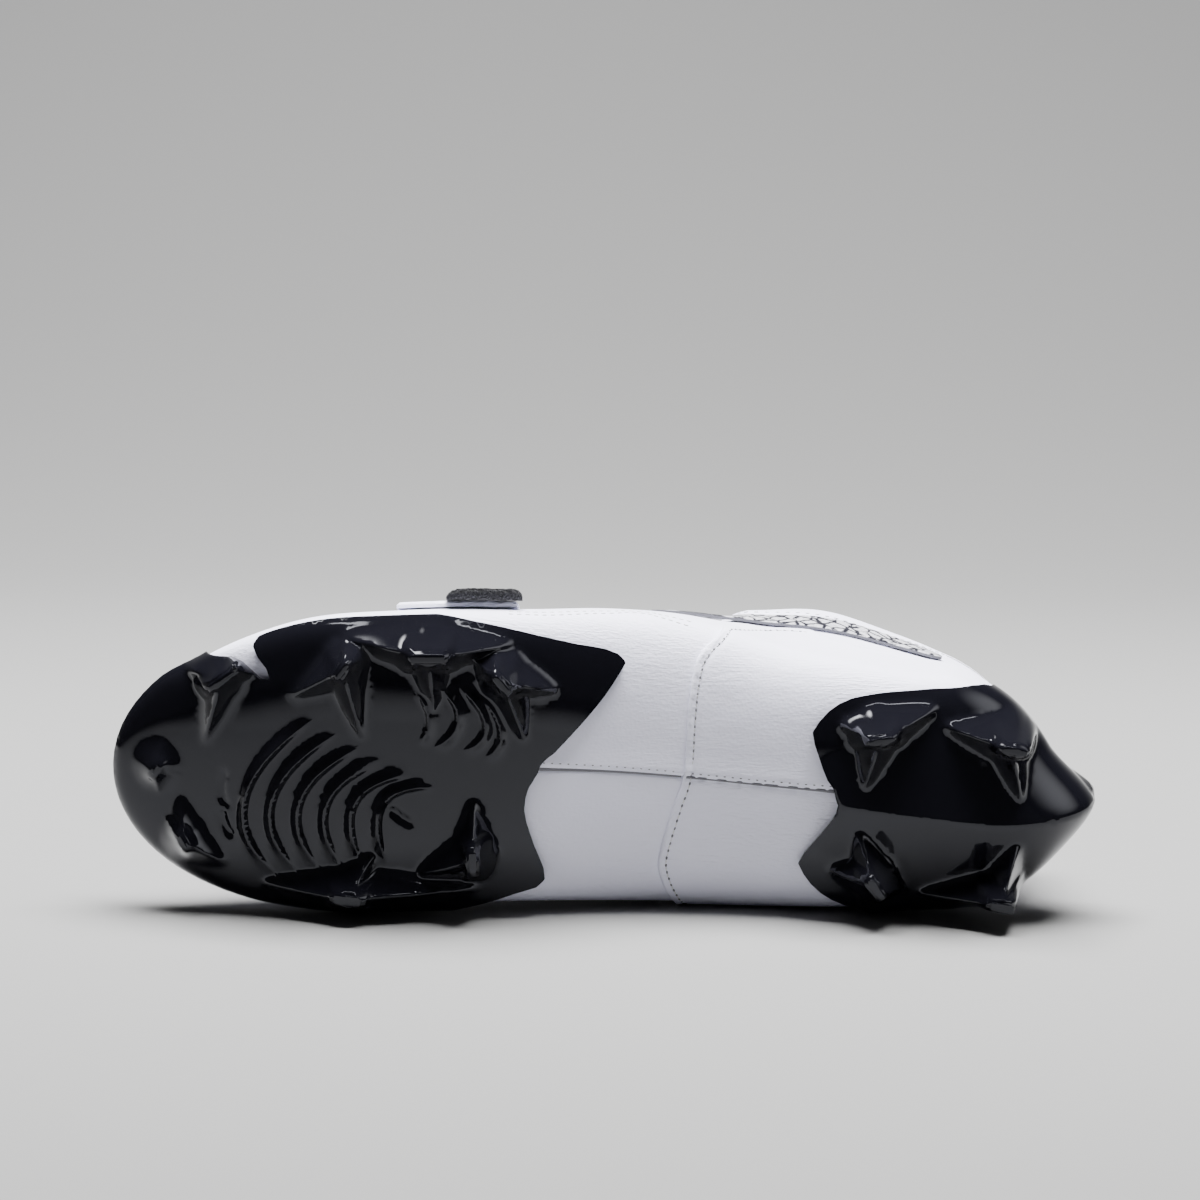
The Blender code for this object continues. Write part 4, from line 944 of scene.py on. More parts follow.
def ramp(made, value, low, high, to_low=0.0, to_high=1.0, kind="LINEAR"):
    """A value's rise from low to high, as one from to_low to to_high."""
    ends = {"Value": value, "From Min": low, "From Max": high, "To Min": to_low, "To Max": to_high}
    return node(made, "ShaderNodeMapRange", ends, interpolation_type=kind).outputs["Result"]


def maths(made, operation, first, second):
    return node(made, "ShaderNodeMath", {0: first, 1: second}, operation=operation).outputs[0]


def blend(made, share, first, second):
    """A colour between two, each given as three numbers."""
    ends = {0: share, 6: (*first, 1), 7: (*second, 1)}
    return node(made, "ShaderNodeMix", ends, data_type="RGBA").outputs[2]


def link(made, output, shader, socket):
    made.node_tree.links.new(output, shader.inputs[socket])


def relief(made, shader, heights, distance):
    """A bump from weighted heights."""
    total = None
    for height, weight in heights:
        part = maths(made, "MULTIPLY", height, weight)
        total = part if total is None else maths(made, "ADD", total, part)
    bump = node(made, "ShaderNodeBump", {"Height": total, "Strength": 1.0, "Distance": distance})
    link(made, bump.outputs["Normal"], shader, "Normal")


def leather(name, colour, shade, roughness, wrinkle):
    made, shader = shader_of(name, colour, roughness, Coat_Weight=0.15, Coat_Roughness=0.35)
    patches = noise(made, 38, detail=4.0)
    link(made, blend(made, ramp(made, patches, 0.35, 0.7), shade, colour), shader, "Base Color")
    worn = ramp(made, noise(made, 300, detail=5.0), 0.3, 0.7, roughness - 0.05, roughness + 0.07)
    link(made, worn, shader, "Roughness")
    grain = cells(made, 900, "F1")
    creased = noise(made, 1050, (0.20, 1.3, 1.3), detail=2.0, distortion=0.5)
    where = ramp(made, noise(made, 22, detail=1.0), 0.38, 0.62, 0.25, 1.0)
    soft = noise(made, 90, (0.5, 1.2, 1.2), detail=2.0)
    creases = maths(made, "MULTIPLY", creased, where)
    relief(made, shader, ((grain, 0.05), (creases, wrinkle), (soft, 0.28)), 0.0011)
    return made


def plastic(name, colour, roughness):
    made, shader = shader_of(name, colour, roughness, IOR=1.435, Specular_Tint=(0.90, 0.92, 1.0, 1))
    smudges = ramp(made, noise(made, 90, detail=5.0), 0.3, 0.75, roughness, roughness + 0.04)
    link(made, smudges, shader, "Roughness")
    relief(made, shader, ((noise(made, 45, detail=1.5), 0.2), (noise(made, 1200, detail=2.0), 0.004)), 0.0005)
    return made


def cloth(name, colour, shade, roughness, weave):
    made, shader = shader_of(name, colour, roughness, Sheen_Weight=0.3, Sheen_Roughness=0.5)
    threads = cells(made, weave, "F1", (1, 1, 0.55))
    link(made, blend(made, ramp(made, threads, 0.1, 0.6), colour, shade), shader, "Base Color")
    relief(made, shader, ((threads, -0.5), (noise(made, 200), 0.4)), 0.0005)
    return made


def pile(name):
    made, shader = shader_of(name, (0.010, 0.010, 0.011), 0.95, Sheen_Weight=0.12, Sheen_Roughness=0.5)
    tufts = noise(made, 1500, detail=6.0)
    shades = (0.004, 0.004, 0.005), (0.022, 0.022, 0.025)
    link(made, blend(made, ramp(made, tufts, 0.4, 0.75), *shades), shader, "Base Color")
    relief(made, shader, ((tufts, 1.0), (cells(made, 1400), 0.6)), 0.0008)
    return made


def crackle(name):
    made, shader = shader_of(name, (0.56, 0.56, 0.57), 0.4, Coat_Weight=0.2)
    wander = node(made, "ShaderNodeTexNoise", {"Vector": place(made), "Scale": 260.0, "Detail": 3.0})
    moved = node(made, "ShaderNodeVectorMath", {0: wander.outputs["Color"], 1: (0.0022, 0.0022, 0.0022)},
                 operation="MULTIPLY")
    at = node(made, "ShaderNodeVectorMath", {0: place(made), 1: moved.outputs[0]}, operation="ADD").outputs[0]
    web, thin = (
        node(made, "ShaderNodeTexVoronoi", {"Vector": at, "Scale": scale}, feature="DISTANCE_TO_EDGE")
        for scale in (215.0, 620.0)
    )
    broken = ramp(made, noise(made, 420, detail=2.0), 0.60, 0.66, 0.0, 0.8)
    bold = maths(made, "MAXIMUM", ramp(made, web.outputs["Distance"], 0.07, 0.13), broken)
    lines = maths(made, "MULTIPLY", bold, ramp(made, thin.outputs["Distance"], 0.0, 0.07, 0.55, 1.0))
    link(made, blend(made, lines, (0.015, 0.015, 0.02), (0.52, 0.52, 0.56)), shader, "Base Color")
    relief(made, shader, ((lines, 0.5),), 0.0003)
    return made


def thread(name, colour):
    made, shader = shader_of(name, colour, 0.7)
    relief(made, shader, ((noise(made, 2500, detail=2.0), 1.0),), 0.0001)
    return made


WHITE = leather("white_leather", (0.855, 0.855, 1.0), (0.84, 0.84, 0.985), 0.42, 0.27)
STRAP_SKIN = leather("strap_leather", (0.86, 0.86, 1.0), (0.845, 0.845, 0.985), 0.45, 0.22)
BLACK = plastic("black_plastic", (0.004, 0.004, 0.006), 0.05)
LINING = cloth("lining_cloth", (0.62, 0.62, 0.63), (0.42, 0.42, 0.43), 0.9, 900.0)
TONGUE_CLOTH = cloth("tongue_cloth", (0.84, 0.84, 0.85), (0.70, 0.70, 0.71), 0.85, 700.0)
LACE_CLOTH = cloth("lace_cloth", (0.88, 0.88, 0.89), (0.70, 0.70, 0.71), 0.8, 1300.0)
INSOLE_CLOTH = cloth("insole_cloth", (0.20, 0.20, 0.21), (0.12, 0.12, 0.13), 0.95, 1100.0)
PILE = pile("black_pile")
BAND = crackle("crackle_print")
THREAD = thread("white_thread", (0.74, 0.74, 0.76))
# Painted shade: a dark grey for the shadow in the stitch holes, also the colour of the middle seam's ribbon
DARK_SEAM_AND_HOLE_SHADE = thread("stitch_shade", (0.16, 0.16, 0.18))
# Dark grey for the band's walls: partly the cut edge's own colour, partly painted shade along the band's edge
BAND_EDGE_AND_SHADE = thread("band_edge_and_shade", (0.13, 0.13, 0.14))

# The upper

COLLAR_BINDING = 0.4
INSOLE_SHARE = 0.86
TONGUE_ROWS = ((0.395, 0.20), (0.41, 0.24), (0.46, 0.27), (0.56, 0.30), (0.68, 0.28), (0.725, 0.20))
BOTTOM_ROWS = 34
SIDE_ROWS = 40
FACING_ROWS = 9
COLLAR_PAD = 0.0010
PAD_DEEP = 0.022
STEP_WIDTH = 0.0006
SEAM_ROWS = (0.0, 0.00025, 0.0006, 0.0012, 0.0022, 0.0035)
SEAM_DEEP = 0.0007
SEAM_HALF = 0.0005
SEAM_ROLL = 0.0005
SEAM_ROLL_REACH = 0.0045
HEEL_COLUMNS = 34
MIDDLE_COLUMNS = 112
TOE_COLUMNS = 40
BINDING_SHARE = 0.95
PAD_FADE = 0.02
FACING_FADE = (THROAT_FRONT + 0.005, THROAT_FRONT + 0.03)


def seam_lift(away, side):
    """The rise and fall of the leather at a distance from the seam along the sole's middle line."""
    fold_over = SEAM_ROLL * np.exp(-((away / SEAM_ROLL_REACH) ** 2)) * (side > 0)
    return fold_over - SEAM_DEEP * np.exp(-((away / SEAM_HALF) ** 2))


def bottom_girths(columns, side):
    """Girths from the middle line to the widest line: close together at the seam, then evenly spaced."""
    steps, lengths = girth_lengths(columns, np.full(len(columns), float(side)), 1.0, 120)
    spread = np.linspace(SEAM_ROWS[-1], 1, BOTTOM_ROWS)[1:]
    whole = lengths[-1]
    near = SEAM_ROWS[-1]
    away = [np.full(len(columns), d) for d in SEAM_ROWS]
    away += [near + (whole - near) * (share - near) / (1 - near) for share in spread]
    return [look_up(way, lengths, steps) for way in away], away


def binding(columns, side):
    """How tall the wall is over the widest line, how far forward it is, and where its binding starts."""
    wide_x, _ = outline(columns, side)
    edge = np.stack(top_edge(columns, side)[:3], axis=-1)
    tall = np.linalg.norm(edge - surface(columns, 1.0, side), axis=-1)
    at = wide_x / LENGTH
    wide = FACING_WIDTH * (COLLAR_BINDING + (1 - COLLAR_BINDING) * ease(COLLAR_START, THROAT_START, at))
    return tall, at, 2 - wide / tall * BINDING_SHARE


def collar_pad(below, at):
    """The padding's rise at a distance below the collar."""
    collar = 1 - ease(COLLAR_START + PAD_FADE, THROAT_START + PAD_FADE, at)
    return COLLAR_PAD * collar * np.sin(np.clip(below / PAD_DEEP, 0, 1) * math.pi) ** 2


def upper_grid(side):
    """The upper's outer skin on one side, a row for each girth line."""
    heel = np.linspace(0, 1, HEEL_COLUMNS)[:-1]
    toe = np.linspace(2, 3, TOE_COLUMNS)[1:]
    columns = np.concatenate([heel, np.linspace(1, 2, MIDDLE_COLUMNS), toe])
    tall, at, line = binding(columns, side)
    half_step = STEP_WIDTH / tall
    rows, away = bottom_girths(columns, side)
    low_count = len(rows)
    rows += [1 + (line - half_step - 1) * t for t in np.linspace(0, 1, SIDE_ROWS)[1:]]
    rows += [line + half_step + (2 - line - half_step) * t for t in np.linspace(0, 1, FACING_ROWS)]
    fade = 1 - ease(*FACING_FADE, at)
    points = []
    for number, g in enumerate(rows):
        pad = collar_pad((2 - g) * tall, at)
        step = FACING_STEP * fade * (number >= low_count + SIDE_ROWS - 1)
        seam = seam_lift(away[number], side) if number < low_count else 0.0
        points.append(skin(columns, g, side, pad + step + seam))
    return np.array(points)


def make_upper():
    points, faces = [], []
    for side in SIDES:
        grid = upper_grid(side)
        rows, columns, _ = grid.shape
        start = len(points)
        points += list(grid.reshape(-1, 3))
        for i in range(rows - 1):
            for j in range(columns - 1):
                a = start + i * columns + j
                quad = (a, a + 1, a + columns + 1, a + columns)
                faces.append(quad if side < 0 else quad[::-1])
    data = shoe_mesh("upper_leather", points, faces)
    mesh = bmesh.new()
    mesh.from_mesh(data)
    bmesh.ops.remove_doubles(mesh, verts=mesh.verts, dist=2e-5)
    mesh.to_mesh(data)
    mesh.free()
    piece = add("upper_leather", data, WHITE, ("upper",))
    data.materials.append(LINING)
    thick = piece.modifiers.new("wall", "SOLIDIFY")
    thick.thickness = WALL
    thick.offset = -1
    thick.use_even_offset = True
    thick.material_offset = 1
    thick.material_offset_rim = 0
    return piece


# The counter's overlay, the seams and the stitches

COUNTER_SEAM = (
    (0.286, 0.655), (0.302, 0.646), (0.325, 0.610), (0.342, 0.545), (0.356, 0.470), (0.370, 0.408),
    (0.382, 0.374), (0.391, 0.353), (0.398, 0.331), (0.403, 0.304), (0.406, 0.268), (0.409, 0.219),
    (0.411, 0.162), (0.413, 0.061), (0.415, -0.044), (0.418, -0.106), (0.424, -0.161), (0.430, -0.223),
    (0.439, -0.329), (0.442, -0.388), (0.438, -0.449), (0.429, -0.516), (0.412, -0.585), (0.385, -0.645),
    (0.340, -0.680),
)
COUNTER_TOP = 1.43
COUNTER_INNER_END = 1.30
COUNTER_OUTER_END = 1.18
UNDER_OVERLAY = (0.19, 0.41)
SEAM_SPAN = (0.20, 0.60)
SEAM_STEPS_UP = 0.417
OVERLAY_FILL = 0.0013
OVERLAY_EDGE = 0.0006
OVERLAY_SUNK = 0.0005
STITCH_INSET = 0.0024
STITCH_PITCH = 0.0025
STITCH_SIZE = (0.0008, 0.00025)
STITCH_HOLE = (0.00058, 0.00036)
STITCH_SUNK = 0.0002
STITCH_GROOVE = 0.0005
GROOVE_HALF = 0.0008
OVERLAY_PUFF = 0.0004
THREAD_LIFT = 0.00003
HOLE_SUNK = 0.00002
EDGE_ROWS = ((0.600, 0.470), (0.556, 0.461), (0.499, 0.456), (0.447, 0.441), (0.405, 0.405))
EDGE_ROW_GAP = 0.0030
SEAM_SHOWN = 0.0006
SEAM_SUNK = 0.0003
SEAM_THREAD_HALF = 0.00024
SEAM_HOLE = (0.00042, 0.00026)
SEAM_HOLE_INSET = 0.0011
BINDING_STITCH_INSET = 0.0022


def counter_outline():
    """The overlay's outline, as flat points: its front seam, then round the heel below the collar."""
    seam = even(smooth(COUNTER_SEAM), 0.001)
    front = flat_of(seam, 0.0)
    inner_s = np.linspace(COUNTER_INNER_END, 0, 60)
    outer_s = np.linspace(0, COUNTER_OUTER_END, 60)[1:]
    inner = unroll((inner_s, np.full(60, COUNTER_TOP), np.full(60, -1.0)))
    outer = unroll((outer_s, np.full(59, COUNTER_TOP), np.full(59, 1.0)))
    return front, even(np.concatenate([front, inner, outer]), 0.0010, closed=True)


def inset(path, distance):
    """A path moved sideways, to the right of its own way."""
    legs = np.gradient(path, axis=0)
    across = unit(np.stack([-legs[:, 1], legs[:, 0]], axis=1))
    return path + across * distance


def make_counter():
    """The overlay round the heel: a step in the leather with a groove for its stitches."""
    front, ring = counter_outline()
    stitch_line = inset(front, -STITCH_INSET)
    edge_line = inset(ring, -OVERLAY_EDGE)
    middle_x = np.arange(*np.multiply(UNDER_OVERLAY, LENGTH), 0.0012)
    middle = np.stack([middle_x, last("middle", middle_x)], axis=1)
    lines = [middle + (0, d) for d in (-0.0006, 0.0, 0.0006)]
    lines = [c[inside_ring(c, ring) & (path_distance(c, ring)[0] > 0.0015)] for c in lines]
    flat, faces = triangulate(ring, filling(ring, OVERLAY_FILL, [edge_line, *lines]), [edge_line, *lines])
    where = fold(flat)
    away, _ = path_distance(flat, looped(ring))
    step = COUNTER_STEP * (0.45 + 0.55 * rounded(np.clip(away / OVERLAY_EDGE, 0, 1)))
    groove, _ = path_distance(flat, stitch_line)
    step = step - STITCH_GROOVE * np.exp(-((groove / GROOVE_HALF) ** 2))
    step = step + OVERLAY_PUFF * np.exp(-(((away - STITCH_INSET / 2) / GROOVE_HALF) ** 2))
    off_middle = np.abs(flat[:, 1] - last("middle", flat[:, 0]))
    step = step + seam_lift(off_middle, where[2]) * (flat[:, 0] > LENGTH * HEEL_CENTRE)
    data = closed("counter_overlay", skin(*where, step), faces, skin(*where, -OVERLAY_SUNK), faces, len(ring))
    add("counter_overlay", data, WHITE, sharp=70)
    make_stitches("counter_stitches", stitch_line, COUNTER_STEP - STITCH_GROOVE + STITCH_SUNK)


def bead(centre, along, across, out):
    """The points of a small rounded bead, and its faces."""
    rings, sides = (-0.75, 0.0, 0.75), 6
    points = [centre - along]
    for t in rings:
        size = math.sqrt(1 - t * t)
        for k in range(sides):
            turn = 2 * math.pi * k / sides
            points.append(centre + along * t + (across * math.cos(turn) + out * math.sin(turn)) * size)
    points.append(centre + along)
    faces = [(0, 1 + (k + 1) % sides, 1 + k) for k in range(sides)]
    for row in range(len(rings) - 1):
        for k in range(sides):
            a, b = 1 + row * sides + k, 1 + row * sides + (k + 1) % sides
            faces.append((a, b, b + sides, a + sides))
    start, end = 1 + (len(rings) - 1) * sides, 1 + len(rings) * sides
    faces += [(end, start + k, start + (k + 1) % sides) for k in range(sides)]
    return points, faces


def beads(name, flat_path, size, lift, material):
    """A row of beads, each of half that length and width, along a path of flat points on the upper."""
    half_long, half_wide = size
    row = even(flat_path, STITCH_PITCH)
    where = fold(row)
    centres = skin(*where, lift)
    outs = normal(*where)
    points, faces = [], []
    for i in range(1, len(row) - 1):
        along = unit(centres[i + 1] - centres[i - 1])
        across = unit(np.cross(outs[i], along))
        new, loops = bead(centres[i], along * half_long, across * half_wide, outs[i] * half_wide)
        faces += [tuple(f + len(points) for f in loop) for loop in loops]
        points += new
    data = shoe_mesh(name, points, faces)
    face_out(data)
    add(name, data, material)


def make_stitches(name, flat_path, lift):
    """A thread in and out of its holes along a path of flat points, with dark beads between the stitches as
    painted shade in the holes.
    """
    beads(name, flat_path, STITCH_SIZE, lift, THREAD)
    between = even(flat_path, STITCH_PITCH)
    between = (between[1:] + between[:-1]) / 2
    beads(name + "_hole_shade", between, STITCH_HOLE, lift - HOLE_SUNK, DARK_SEAM_AND_HOLE_SHADE)


def make_seams():
    """A dark-grey ribbon down the sole's middle seam, dark beads beside it as painted shade in its holes, and
    the stitches below the collar.
    """
    x = np.arange(*np.multiply(SEAM_SPAN, LENGTH), 0.001)
    middle = np.stack([x, last("middle", x)], axis=1)
    over = x < LENGTH * SEAM_STEPS_UP
    front, rear = (middle[~over], 0.0), (middle[over], COUNTER_STEP)
    for name, (part, lift) in (("middle_seam_front", front), ("middle_seam_rear", rear)):
        ring = ribbon(part, SEAM_THREAD_HALF)
        flat, faces = triangulate(ring, np.zeros((0, 2)), [])
        where = fold(flat)
        outer = skin(*where, lift - SEAM_DEEP + SEAM_SHOWN)
        inner = skin(*where, lift - SEAM_DEEP - SEAM_SUNK)
        add(name, closed(name, outer, faces, inner, faces, len(ring)), DARK_SEAM_AND_HOLE_SHADE)
        beads(name + "_hole_shade", part + (0, SEAM_HOLE_INSET), SEAM_HOLE, lift + SEAM_ROLL - STITCH_SUNK, DARK_SEAM_AND_HOLE_SHADE)
    rows = flat_of(even(smooth(EDGE_ROWS), 0.001), 0.0)
    for i, name in enumerate(("edge_stitches_low", "edge_stitches_high")):
        beads(name, inset(rows, -EDGE_ROW_GAP * i), STITCH_SIZE, THREAD_LIFT, THREAD)


def make_binding_stitches():
    """A row of stitches in the binding round the collar and down the throat's facings."""
    columns = np.linspace(0.02, 1.90, 260)
    for side, name in zip(SIDES, ("binding_stitches_outer", "binding_stitches_inner"), strict=True):
        tall, at, line = binding(columns, side)
        girth = line + BINDING_STITCH_INSET / tall
        lift = FACING_STEP + collar_pad((2 - girth) * tall, at)
        path = unroll((columns, girth, np.full(len(columns), float(side))))
        beads(name, path, STITCH_SIZE, float(lift.mean()), THREAD)


# The plates

SHELL_STEPS = (0.0012, 0.00065, 0.0035)
SHELL_RING = 0.0010
SOFT_PASSES = 3
SOFT_LEAST = 0.2
SOFT_FROM = 0.0008
BUSY_FROM = 0.004
INSOLE_STEPS = (0.006, 0.006, 0.004)


def is_busy(points, studs):
    """Whether a plan point lies on a stud or near a rib."""
    busy = stud_share(points, studs) >= BUSY_FROM
    if studs is FOREFOOT_STUDS:
        lines = [rib_line(i, 12) for i in range(RIB_COUNT)] + [side_rib(rows, 8) for rows in SIDE_RIBS]
        for line in lines:
            busy |= path_distance(points, line)[0] < RIB_GENTLE
    return busy


def close_filling(ring, creases, studs, nominal, steps):
    """Flat points inside the ring, closer together where the studs rise."""
    even_step, stud_step = steps
    wide, close = filling(ring, even_step, creases), filling(ring, stud_step, creases)
    if not studs:
        return wide
    wide = wide[~is_busy(plan_of(fold(wide), nominal), studs)]
    close = close[is_busy(plan_of(fold(close), nominal), studs)]
    return np.concatenate([wide, close])


def softened(points, faces, fixed, share):
    """Points drawn toward the middle of their neighbours by their share, all but the first ones."""
    faces = np.asarray(faces)
    pairs = np.concatenate([faces[:, [0, 1]], faces[:, [1, 2]], faces[:, [2, 0]]])
    pairs = np.concatenate([pairs, pairs[:, ::-1]])
    count = np.zeros(len(points))
    np.add.at(count, pairs[:, 0], 1)
    share = np.where(np.arange(len(points)) < fixed, 0, share)[:, None]
    for _ in range(SOFT_PASSES):
        total = np.zeros_like(points)
        np.add.at(total, pairs[:, 0], points[pairs[:, 1]])
        points = points + share * (total / count[:, None] - points) / 2
    return points


def bottom_patch(name, ring, creases, base, nominal, top, steps, studs=()):
    """A mesh under the last, from lift base out to the lift that top works out."""
    flat_ring = flat_of(ring, nominal)
    flat_creases = [flat_of(crease, nominal) for crease in creases]
    fill = close_filling(flat_ring, flat_creases, studs, nominal, steps[:2])
    outer_plan, outer_faces = triangulate(flat_ring, fill, flat_creases)
    inner_plan, inner_faces = triangulate(flat_ring, filling(flat_ring, steps[2], []), [])
    outer_spot = fold(outer_plan)
    inner_spot = fold(inner_plan)
    lift, drop = top(plan_of(outer_spot, nominal), outer_spot)
    outer = skin(*outer_spot, lift) - drop[:, None] * np.array([0.0, 0.0, 1.0])
    share = SOFT_LEAST + (1 - SOFT_LEAST) * ease(0, SOFT_FROM, drop)
    outer = softened(outer, outer_faces, len(ring), share)
    return closed(name, outer, outer_faces, skin(*inner_spot, base), inner_faces, len(ring))


def inside_parts(creases, ring):
    """What of the creases lies inside the ring."""
    kept = [c[inside_ring(c, ring)] for c in creases]
    return [c for c in kept if len(c) > 1]


def make_plates():
    ring = even(forefoot_ring(), SHELL_RING, closed=True)
    creases = stud_creases(FOREFOOT_STUDS)
    for i in range(RIB_COUNT):
        creases += [rib_line(i, 30), rib_line(i, 30) - (RIB_STEEP, 0)]
    creases += [side_rib(rows, 16) for rows in SIDE_RIBS]
    data = bottom_patch("forefoot_shell", ring, inside_parts(creases, ring), GAP, FOREFOOT_LIFT,
                        forefoot_top, SHELL_STEPS, FOREFOOT_STUDS)
    add("forefoot_shell", data, BLACK, ("forefoot_plate",), sharp=85)
    ring = even(heel_ring(), SHELL_RING, closed=True)
    creases = stud_creases(HEEL_STUDS) + [even(smooth(KEEL), 0.0015)]
    data = bottom_patch("heel_shell", ring, inside_parts(creases, ring), COUNTER_STEP + GAP, HEEL_LIFT,
                        heel_top, SHELL_STEPS, HEEL_STUDS)
    add("heel_shell", data, BLACK, ("heel_plate",), sharp=85)


def make_insole():
    under = -(WALL + GAP + SLACK)
    outer, inner = (rim(np.linspace(*ends, 90)[:-1], side, under, INSOLE_SHARE)
                    for ends, side in (((0, 3), 1), ((3, 0), -1)))
    ring = even(np.concatenate([outer, inner]), 0.003, closed=True)

    def level(points, _):
        return np.full(len(points), under), np.zeros(len(points))

    data = bottom_patch("insole_sheet", ring, [], under - INSOLE_THICKNESS, under, level, INSOLE_STEPS)
    add("insole_sheet", data, INSOLE_CLOTH, ("insole",), sharp=60)


# What lies over the instep

def instep_mesh(name, ring, base, top, step):
    flat, faces = triangulate(ring, filling(ring, step, []), [])
    outer = instep_skin(flat, top(flat))
    inner = instep_skin(flat, base(flat))
    return closed(name, outer, faces, inner, faces, len(ring))


def edge_share(points, ring, reach):
    """0 at the ring, 1 from reach inside it."""
    away, _ = path_distance(points, looped(ring))
    return np.clip(away / reach, 0, 1)


def edge_round(points, ring, reach):
    """0 at the ring, 1 from reach inside it, as a rounded edge rises."""
    return rounded(edge_share(points, ring, reach))


def make_tongue():
    rows = np.array(TONGUE_ROWS)
    at = np.linspace(rows[0, 0], rows[-1, 0], 60)
    half = curve(rows[:, 0], rows[:, 1], at)
    left = np.stack([at * LENGTH, half * BALL_WIDTH], axis=1)
    ring = even(np.concatenate([left, left[::-1] * (1, -1)]), 0.0025, closed=True)
    high = -(WALL + GAP + SLACK)

    def base(points):
        return high - TONGUE_THICKNESS * (0.5 + 0.5 * edge_round(points, ring, TONGUE_EDGE))

    def top(points):
        return high - TONGUE_THICKNESS * 0.5 * (1 - edge_round(points, ring, TONGUE_EDGE))

    data = instep_mesh("tongue_pad", ring, base, top, 0.0022)
    piece = add("tongue_pad", data, TONGUE_CLOTH, ("tongue",), sharp=70)


def make_laces():
    half = THROAT_WIDTH / 2 + LACE_INSET
    path = []
    for i, at in enumerate(LACE_ROWS):
        side = 1 if i % 2 == 0 else -1
        path += [(at * LENGTH, side * half), (at * LENGTH, -side * half)]
    ring = even(ribbon(np.array(path), LACE_WIDTH / 2), 0.0010, closed=True)

    def top(points):
        return LACE_LIFT + LACE_THICKNESS * (0.45 + 0.55 * edge_round(points, ring, LACE_WIDTH / 2))

    data = instep_mesh("lace_ribbon", ring, lambda points: LACE_LIFT, top, 0.0011)
    add("lace_ribbon", data, LACE_CLOTH, ("laces",), sharp=60)


def make_strap():
    front, back = STRAP_FRONT * LENGTH, STRAP_FRONT * LENGTH - STRAP_WIDTH
    outer_at = np.linspace(back + STRAP_NARROWING, front, 30)
    inner_at = np.linspace(front, back, 30)
    ring = np.concatenate([down_instep(outer_at, STRAP_OUTER, 1), down_instep(inner_at, STRAP_INNER, -1)])
    ring = even(ring, 0.0014, closed=True)

    def top(points):
        thick = STRAP_THICKNESS * (0.55 + 0.45 * edge_round(points, ring, STRAP_EDGE))
        away, _ = path_distance(points, looped(ring))
        groove = np.exp(-(((away - STRAP_GROOVE_INSET) / STRAP_GROOVE_HALF) ** 2))
        return strap_base(points) + thick - STRAP_GROOVE * groove

    data = instep_mesh("strap_band", ring, strap_base, top, 0.0013)
    add("strap_band", data, STRAP_SKIN, ("strap",), sharp=60)


def make_strap_tab():
    back = STRAP_FRONT * LENGTH - STRAP_WIDTH + TAB_INSET
    at = np.linspace(back, back + TAB_WIDTH, 30)
    ring = np.concatenate([down_instep(at, TAB_FROM, 1), down_instep(at, TAB_TO, 1)[::-1]])
    ring = even(ring, 0.0008, closed=True)
    random = np.random.default_rng(7)

    def base(points):
        return strap_base(points) + STRAP_THICKNESS + GAP + SLACK

    def top(points):
        whole = down_instep(points[:, 0], 1.0, 1)[:, 1]
        out = ease(TAB_FROM, TAB_TO, points[:, 1] / whole)
        x = points[:, 0]
        ends = np.clip(np.minimum((x - back) / 0.003, (back + TAB_WIDTH - x) / 0.006), 0, 1)
        fuzz = TAB_FUZZ * random.standard_normal(len(points))
        return base(points) + TAB_THICKNESS + TAB_CURL * out * rounded(ends) + fuzz

    data = instep_mesh("strap_tab_pile", ring, base, top, 0.0008)
    add("strap_tab_pile", data, PILE, ("strap_tab",))


def make_trim_band():
    start, end = BAND_LINE[0][0] * LENGTH, BAND_LINE[-1][0] * LENGTH
    half = BAND_WIDTH / 2
    turn = np.linspace(math.pi / 2, 3 * math.pi / 2, 20)
    cap = np.stack([start + half + half * np.cos(turn), half * np.sin(turn)], axis=1)
    ring = even(np.concatenate([[(end, -half), (end, half)], cap]), 0.0012, closed=True)
    flat, faces = triangulate(ring, filling(ring, 0.0016, []), [])
    where = band_spot(flat)
    low = GAP + SLACK
    inner = skin(*where, low)
    outer = skin(*where, low + BAND_THICKNESS * (0.7 + 0.3 * edge_round(flat, ring, BAND_ROUND)))
    data = closed("printed_band", outer, faces, inner, faces, len(ring))
    add("printed_band", data, BAND, ("trim_band",), sharp=50)
    # The walls round the band take the dark grey: partly the cut edge's own colour, partly painted shade
    # where the band stands off the leather.
    data.materials.append(BAND_EDGE_AND_SHADE)
    for face in data.polygons:
        on_wall = len({vertex < len(outer) for vertex in face.vertices}) > 1
        face.material_index = int(on_wall)


# Camera, floor and light

PIXEL = 0.0003047
VIEW_TILT = math.radians(11.5)
VIEW_DISTANCE = 1.30
VIEW_ENLARGE = 1.022
VIEW_X = 0.1493
VIEW_RISE = 0.0506
IMAGE = 1200
FLOOR_COLOUR = (0.225, 0.225, 0.224)
SENSOR = 36.0
HALF_WIDE = 4.0


